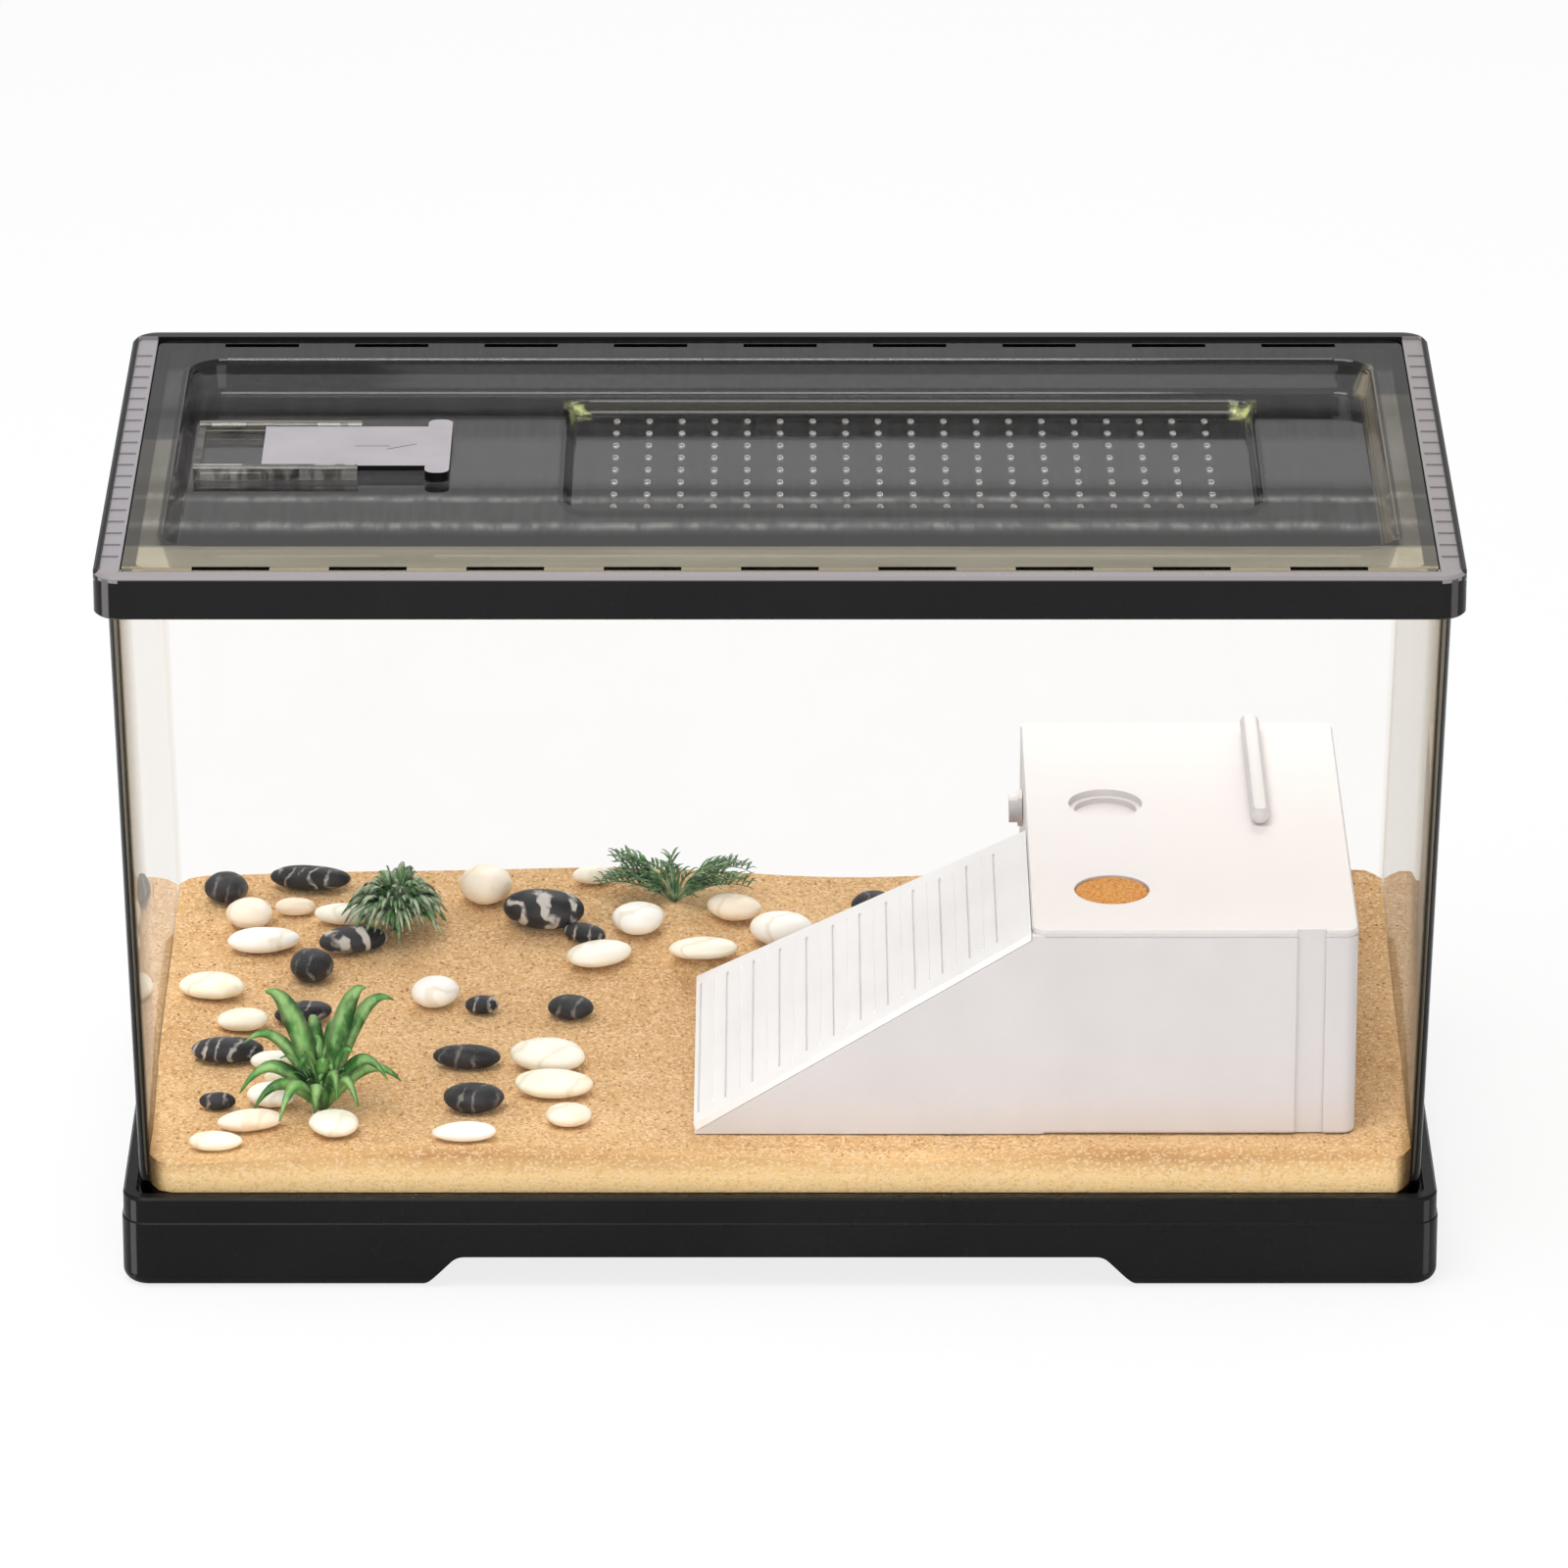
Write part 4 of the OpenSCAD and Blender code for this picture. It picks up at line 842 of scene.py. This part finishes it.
def black_stone(name, vein, spacing, width, turn):
    """A dark water-worn stone with pale veins of a given strength."""
    material, tree, out = start_material(name)
    tone = blend_colours(tree, cloud(tree, 0.012, 1.2), rgb(16, 16, 18), rgb(50, 50, 54))
    bands = place_group(tree, VEINS, {"Spacing": spacing, "Turn": turn, "Width": width}).outputs["Mask"]
    broken = times(tree, bands, cloud(tree, 0.009, 1.6))
    tone = blend_colours(tree, times(tree, broken, vein, clamp=True), tone, rgb(196, 190, 184))
    pits = place_group(tree, GRAIN, {"Size": 0.0011}).outputs["Height"]
    solid_shader(tree, out, tone, uneven(tree, 0.01, 0.4, 0.55), relief(tree, pits, 0.15),
                 **{"Specular IOR Level": 0.3})
    return material


def refit(bm, low, high):
    """Scales a shape back to a box after smoothing has drawn it in."""
    now_low = Vector([min(v.co[k] for v in bm.verts) for k in range(3)])
    now_high = Vector([max(v.co[k] for v in bm.verts) for k in range(3)])
    for v in bm.verts:
        for k in range(3):
            share = (v.co[k] - now_low[k]) / (now_high[k] - now_low[k])
            v.co[k] = low[k] + share * (high[k] - low[k])


def make_pebble(node, seed, material):
    """A rounder, finer pebble in the place of the solid's."""
    low, high = spread(node)
    bm = solid_copy(node)
    for _ in range(2):
        bmesh.ops.subdivide_edges(bm, edges=bm.edges, cuts=1, use_grid_fill=True, smooth=0.0)
        bmesh.ops.triangulate(bm, faces=bm.faces)
        for _ in range(3):
            bmesh.ops.smooth_vert(bm, verts=bm.verts, factor=0.5, use_axis_x=True, use_axis_y=True,
                                  use_axis_z=True)
    middle = (low + high) / 2
    size = (high - low).length
    for v in bm.verts:
        way = v.co - middle
        swell = noise.noise(way * (2.4 / size) + Vector((seed * 3.1, 0, 0)))
        dent = noise.noise(way * (7.0 / size) + Vector((0, seed * 1.7, 0)))
        v.co = middle + way * (1 + 0.07 * swell + 0.02 * dent)
    refit(bm, low, high)
    mesh_piece(f"{node}_stone", bm, TANK, material, [node])


def make_pebbles():
    creams = [cream_stone("cream_stone", rgb(254, 253, 244), rgb(251, 246, 228)),
              cream_stone("pale_stone", rgb(255, 254, 250), rgb(253, 250, 240)),
              cream_stone("buff_stone", rgb(252, 243, 228), rgb(248, 231, 207)),
              cream_stone("honey_stone", rgb(254, 252, 238), rgb(251, 243, 218))]
    plain = black_stone("black_stone", 0.3, 0.007, 0.2, 0.4)
    striped = black_stone("striped_stone", 0.85, 0.0062, 0.22, 0.5)
    bold = black_stone("bold_stone", 2.0, 0.012, 0.3, -0.5)
    for index in range(1, WHITE_PEBBLES + 1):
        make_pebble(f"white_pebble_{index}", index, creams[(index * 7) % len(creams)])
    for index in range(1, BLACK_PEBBLES + 1):
        stone = bold if index in BOLD else striped if index in STRIPED else plain
        make_pebble(f"black_pebble_{index}", index + 30, stone)


# Plants
# Turn in degrees from one blade to the next, so that they spread evenly
SPIRAL = 137.5

# Turn in degrees; reach, rise, droop and width in millimetres
BROAD_LEAVES = (
    (182, 25, 61, 3, 10.0), (4, 20, 62, 3, 9.0), (12, 33, 60, 9, 7.5), (150, 16, 44, 4, 7.0),
    (40, 18, 44, 6, 6.5), (170, 36, 44, 14, 6.0), (193, 38, 34, 22, 7.0), (205, 34, 24, 18, 6.0),
    (236, 33, 30, 24, 7.0), (262, 20, 26, 20, 8.5), (338, 32, 38, 18, 6.5), (352, 36, 30, 14, 6.0),
    (310, 26, 30, 20, 6.5), (290, 22, 34, 20, 7.0), (75, 26, 44, 12, 6.5), (105, 28, 46, 14, 6.5))


def leaf_material(name, dark, light, tip, patch=0.008):
    """Green in fine patches, with paler stretches painted as highlights, and faint fibres."""
    material, tree, out = start_material(name)
    tone = blend_colours(tree, cloud(tree, patch, 1.6), dark, light)
    # tip is the colour of the painted highlights in the paler stretches.
    pale = cloud(tree, patch * 0.7, 2.2, (1, 1, 0.6))
    tone = blend_colours(tree, times(tree, pale, 0.75), tone, tip)
    fibre = cloud(tree, 0.0012, 1.0, (1, 1, 0.2))
    solid_shader(tree, out, tone, plus(tree, times(tree, fibre, 0.15), 0.35), relief(tree, fibre, 0.3))
    return material


def root_of(node):
    """Where a plant's solid stands: the middle of its foot."""
    low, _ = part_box(node)
    foot = [v.co for v in cad_nodes[node].data.vertices if v.co.z < low[2] + 1.2 * MM]
    return sum(foot, Vector()) / len(foot)


def add_leaf(bm, root, turn, reach, rise, droop, width, steps=9, roll=0.0, twist=0.0, thick=0.35 * MM):
    """A closed leaf with a keel: it rises, leans out and droops, in metres.

    roll lays it over on its own length, and twist turns it further toward the tip."""
    rings = []
    for i in range(steps + 1):
        t = i / steps
        along = Vector((reach * t, 0, rise * (1 - (1 - t) ** 2) - droop * t ** 3))
        slope = Vector((reach, 0, rise * 2 * (1 - t) - 3 * droop * t * t)).normalized()
        side = Matrix.Rotation(roll + twist * t, 3, slope) @ Vector((0, 1, 0))
        up = slope.cross(side) * -1
        half = width / 2 * math.sin(math.radians(20 + 155 * t ** 0.8)) + 0.12 * MM
        lift = half * 0.35
        shape = [along + side * half + up * lift, along + up * thick / 2,
                 along - side * half + up * lift, along - up * thick / 2]
        spin = Matrix.Rotation(turn, 3, "Z")
        rings.append([bm.verts.new(root + spin @ p) for p in shape])
    for a, b in zip(rings, rings[1:]):
        for k in range(4):
            bm.faces.new((a[k], a[(k + 1) % 4], b[(k + 1) % 4], b[k]))
    bm.faces.new(rings[0][::-1])
    bm.faces.new(rings[-1])


def make_grass_plant():
    """A low mound of narrow arching blades."""
    rng = random.Random(3)
    bm = bmesh.new()
    root = root_of("grass_plant")
    blades = 150
    for i in range(blades):
        share = (i + 0.5) / blades
        reach = (5 + 23 * share ** 0.6 * rng.uniform(0.8, 1.0)) * MM
        rise = (33 - 9 * share) * rng.uniform(0.8, 1.05) * MM
        droop = rise * (0.1 + 0.85 * share ** 1.3) * rng.uniform(0.7, 1.0)
        add_leaf(bm, root, math.radians(i * SPIRAL), reach, rise, droop, rng.uniform(4.4, 6.2) * MM,
                 steps=8, roll=rng.uniform(-0.8, 0.8), twist=rng.uniform(-0.5, 0.5))
    green = leaf_material("grass_green", rgb(36, 74, 34), rgb(98, 146, 84), rgb(200, 216, 188), 0.007)
    mesh_piece("grass_leaves", bm, TANK, green, ["grass_plant"])


def make_needle_plant():
    """Low feathery fronds to both sides, with a few short ones between them."""
    rng = random.Random(5)
    bm = bmesh.new()
    root = root_of("needle_plant")
    for i in range(30):
        side = i % 3
        turn = math.radians((rng.uniform(-28, 38), rng.uniform(142, 208), rng.uniform(40, 140))[side])
        reach = (rng.uniform(22, 38) if side < 2 else rng.uniform(8, 18)) * MM
        rise = rng.uniform(12, 24) * MM
        droop = rng.uniform(2, 10) * MM
        add_leaf(bm, root, turn, reach, rise, droop, 1.2 * MM, steps=8)
        pairs = int(reach / (2.6 * MM))
        for k in range(2, pairs):
            t = k / pairs
            spot = Vector((reach * t, 0, rise * (1 - (1 - t) ** 2) - droop * t ** 3))
            foot = root + Matrix.Rotation(turn, 3, "Z") @ spot
            for way in (-1, 1):
                add_leaf(bm, foot, turn + way * math.radians(rng.uniform(28, 48)), (9 - 4 * t) * MM,
                         rng.uniform(2, 5) * MM, 1.0 * MM, 1.25 * MM, steps=3)
    green = leaf_material("needle_green", rgb(36, 76, 44), rgb(76, 124, 72), rgb(150, 182, 134), 0.006)
    mesh_piece("needle_leaves", bm, TANK, green, ["needle_plant"])


def make_broad_leaf_plant():
    """Long pointed leaves: some stand up and lean out, others hang low around the foot."""
    rng = random.Random(8)
    bm = bmesh.new()
    root = root_of("broad_leaf_plant")
    for turn, *sizes in BROAD_LEAVES:
        reach, rise, droop, width = (size * MM for size in sizes)
        facing = math.cos(math.radians(turn)) * 1.1
        add_leaf(bm, root, math.radians(turn), reach, rise, droop, width, steps=12, roll=facing,
                 twist=rng.uniform(-0.3, 0.3))
    for i in range(18):
        add_leaf(bm, root, math.radians(i * SPIRAL), rng.uniform(8, 20) * MM, rng.uniform(24, 40) * MM,
                 rng.uniform(3, 14) * MM, rng.uniform(6, 8) * MM, steps=9, roll=rng.uniform(-0.9, 0.9))
    for i in range(26):
        add_leaf(bm, root, math.radians(i * 99), rng.uniform(6, 14) * MM, rng.uniform(16, 26) * MM,
                 rng.uniform(1, 5) * MM, rng.uniform(2.4, 3.4) * MM, steps=6)
    green = leaf_material("broad_green", rgb(40, 102, 36), rgb(92, 160, 70), rgb(158, 200, 126), 0.012)
    mesh_piece("broad_leaves", bm, TANK, green, ["broad_leaf_plant"])


# Feed in the front dish
# Turn in radians from one pellet to the next
PELLET_TURN = 2.39996


def feed_bed(middle, low_z, brim, radius):
    """The mass under the top pellets, which fills the dish and its ledge: (points, polygons)."""
    steps = 24
    ledge = low_z + 2.7 * MM
    profile = [(radius * 0.84, low_z), (radius * 0.84, ledge), (radius, ledge), (radius, brim)]
    turns = [math.tau * k / steps for k in range(steps)]
    points = [Vector((middle.x + r * math.cos(turn), middle.y + r * math.sin(turn), z))
              for r, z in profile for turn in turns]
    polygons = [[ring * steps + k, ring * steps + (k + 1) % steps, (ring + 1) * steps + (k + 1) % steps,
                 (ring + 1) * steps + k] for ring in range(len(profile) - 1) for k in range(steps)]
    polygons.append(list(range(steps))[::-1])
    polygons.append([(len(profile) - 1) * steps + k for k in range(steps)])
    return points, polygons


def make_feed(count=430):
    """Single pellets heaped over the feed's own solid, in the space that the solid has."""
    rng = random.Random(21)
    low, high = spread("feed_pellets")
    middle = (low + high) / 2
    radius = (high.x - low.x) / 2
    pellet_r = 0.75 * MM
    brim = high.z - 2.2 * MM
    template = bmesh.new()
    bmesh.ops.create_cone(template, cap_ends=True, segments=7, radius1=pellet_r, radius2=pellet_r * 0.85,
                          depth=2 * MM)
    placements = []
    for i in range(count):
        share = math.sqrt((i + 0.5) / count)
        spot = Vector((share * (radius - pellet_r * 1.4), 0, 0))
        spot.rotate(Matrix.Rotation(i * PELLET_TURN + rng.uniform(-0.05, 0.05), 3, "Z"))
        dome = (1 - share ** 2) * 1.0 * MM
        centre = Vector((middle.x + spot.x, middle.y + spot.y, brim + dome + rng.uniform(-0.1, 0.35) * MM))
        turn = Matrix.Rotation(rng.uniform(0, math.tau), 4, "Z")
        tilt = Matrix.Rotation(rng.uniform(1.0, 2.1), 4, "X")
        placements.append(Matrix.Translation(centre) @ turn @ tilt)
    feed = surface("feed_orange", rgb(214, 140, 62), rgb(238, 184, 108), drift=0.002, roughness=(0.6, 0.8),
                   bump=0.3)
    scatter("feed_heap", template, placements, feed, ["feed_pellets"], False,
            feed_bed(middle, low.z, brim, radius))


# Arrow on the hatch cover
def make_hatch_arrow():
    """A thin arrow that shows which way the cover slides."""
    ink = surface("arrow_grey", rgb(84, 80, 84), rgb(96, 92, 96), drift=0.01, roughness=(0.5, 0.6))
    line_w = 0.7 * MM
    deck = HATCH_HIGH.z
    middle = (HATCH_LOW.y + HATCH_HIGH.y) / 2
    tail = HATCH_LOW.x + 42 * MM
    bend = tail + 15 * MM
    tip = bend + 12 * MM
    strokes = [((tail, middle), (bend, middle)),
               ((bend - 0.5 * MM, middle - 4 * MM), (tip, middle + 2.5 * MM))]
    bm = bmesh.new()
    for start, end in strokes:
        a, b = Vector((*start, deck)), Vector((*end, deck))
        way = b - a
        shape = (Matrix.Translation((a + b) / 2) @ Matrix.Rotation(math.atan2(way.y, way.x), 4, "Z")
                 @ Matrix.Diagonal((way.length + line_w, line_w, 0.1 * MM, 1)))
        bmesh.ops.create_cube(bm, size=1, matrix=shape)
    bmesh.ops.bevel(bm, geom=bm.edges, offset=0.02 * MM, segments=1, affect="EDGES")
    mesh_piece("hatch_arrow", bm, HATCH, ink, smooth=False)


# Studio
# How strongly the white room lights the pieces, and how bright it is in their shine
ROOM_LIGHT = 0.4
SHINE_LIGHT = 0.5
# How bright the floor's glow is, and its share where the floor is seen
FLOOR_GLOW = 1.02
FLOOR_GLOW_SHARE = 0.8


def seeing_rays(tree):
    """Masks of rays that see the room, straight or through clear pieces, and of rays that mirror it."""
    path = put(tree, "ShaderNodeLightPath")
    open_view = calc(tree, "MAXIMUM", path.outputs["Is Camera Ray"], path.outputs["Is Transmission Ray"])
    return open_view, path.outputs["Is Glossy Ray"]


def make_floor():
    """A wide white floor that keeps the tank's shadow."""
    bm = bmesh.new()
    bmesh.ops.create_grid(bm, x_segments=1, y_segments=1, size=12)
    mesh = bpy.data.meshes.new("studio_floor")
    bm.to_mesh(mesh)
    bm.free()
    floor = add_object("studio_floor", mesh)
    material, tree, out = start_material("studio_white")
    seen, _ = seeing_rays(tree)
    matt = put(tree, "ShaderNodeBsdfDiffuse", {"Color": (0.9, 0.9, 0.9, 1)})
    glow = put(tree, "ShaderNodeEmission", {"Color": (1, 1, 1, 1), "Strength": FLOOR_GLOW})
    share = times(tree, seen, FLOOR_GLOW_SHARE)
    mix = put(tree, "ShaderNodeMixShader", {0: share, 1: matt.outputs[0], 2: glow.outputs[0]})
    tree.links.new(mix.outputs[0], out.inputs["Surface"])
    mesh.materials.append(material)


def make_world():
    """An even white room: full white where it is seen, gentler where it lights."""
    world = bpy.data.worlds.new("studio_room")
    bpy.context.scene.world = world
    world.use_nodes = True
    tree = world.node_tree
    tree.nodes.clear()
    seen, shine = seeing_rays(tree)
    strength = plus(tree, times(tree, seen, 1 - ROOM_LIGHT), ROOM_LIGHT)
    strength = calc(tree, "MAXIMUM", strength, times(tree, shine, SHINE_LIGHT))
    glow = put(tree, "ShaderNodeBackground", {"Color": (1, 1, 1, 1), "Strength": strength})
    out = put(tree, "ShaderNodeOutputWorld")
    tree.links.new(glow.outputs[0], out.inputs["Surface"])


def add_lamp(name, place, size, watts):
    """A soft square lamp that points at the tank."""
    data = bpy.data.lights.new(name, "AREA")
    data.shape = "SQUARE"
    data.size = size
    data.energy = watts
    lamp = add_object(name, data)
    lamp.location = place
    lamp.rotation_euler = (CAMERA_AIM - Vector(place)).to_track_quat("-Z", "Y").to_euler()


def make_lights():
    add_lamp("soft_key", (-0.7, -0.6, 2.9), 1.8, 58)
    add_lamp("soft_fill", (0.5, -2.7, 0.8), 1.6, 11)
    add_lamp("soft_back", (0.4, 1.8, 2.2), 1.6, 14)


make_camera()
make_floor()
make_world()
make_lights()
dress_solid_pieces()
dress_clear_pieces()
sand_piece = make_sand()
make_loose_grains(sand_piece)
make_pebbles()
make_grass_plant()
make_needle_plant()
make_broad_leaf_plant()
make_feed()
make_hatch_arrow()

bpy.context.scene.view_settings.view_transform = "Standard"
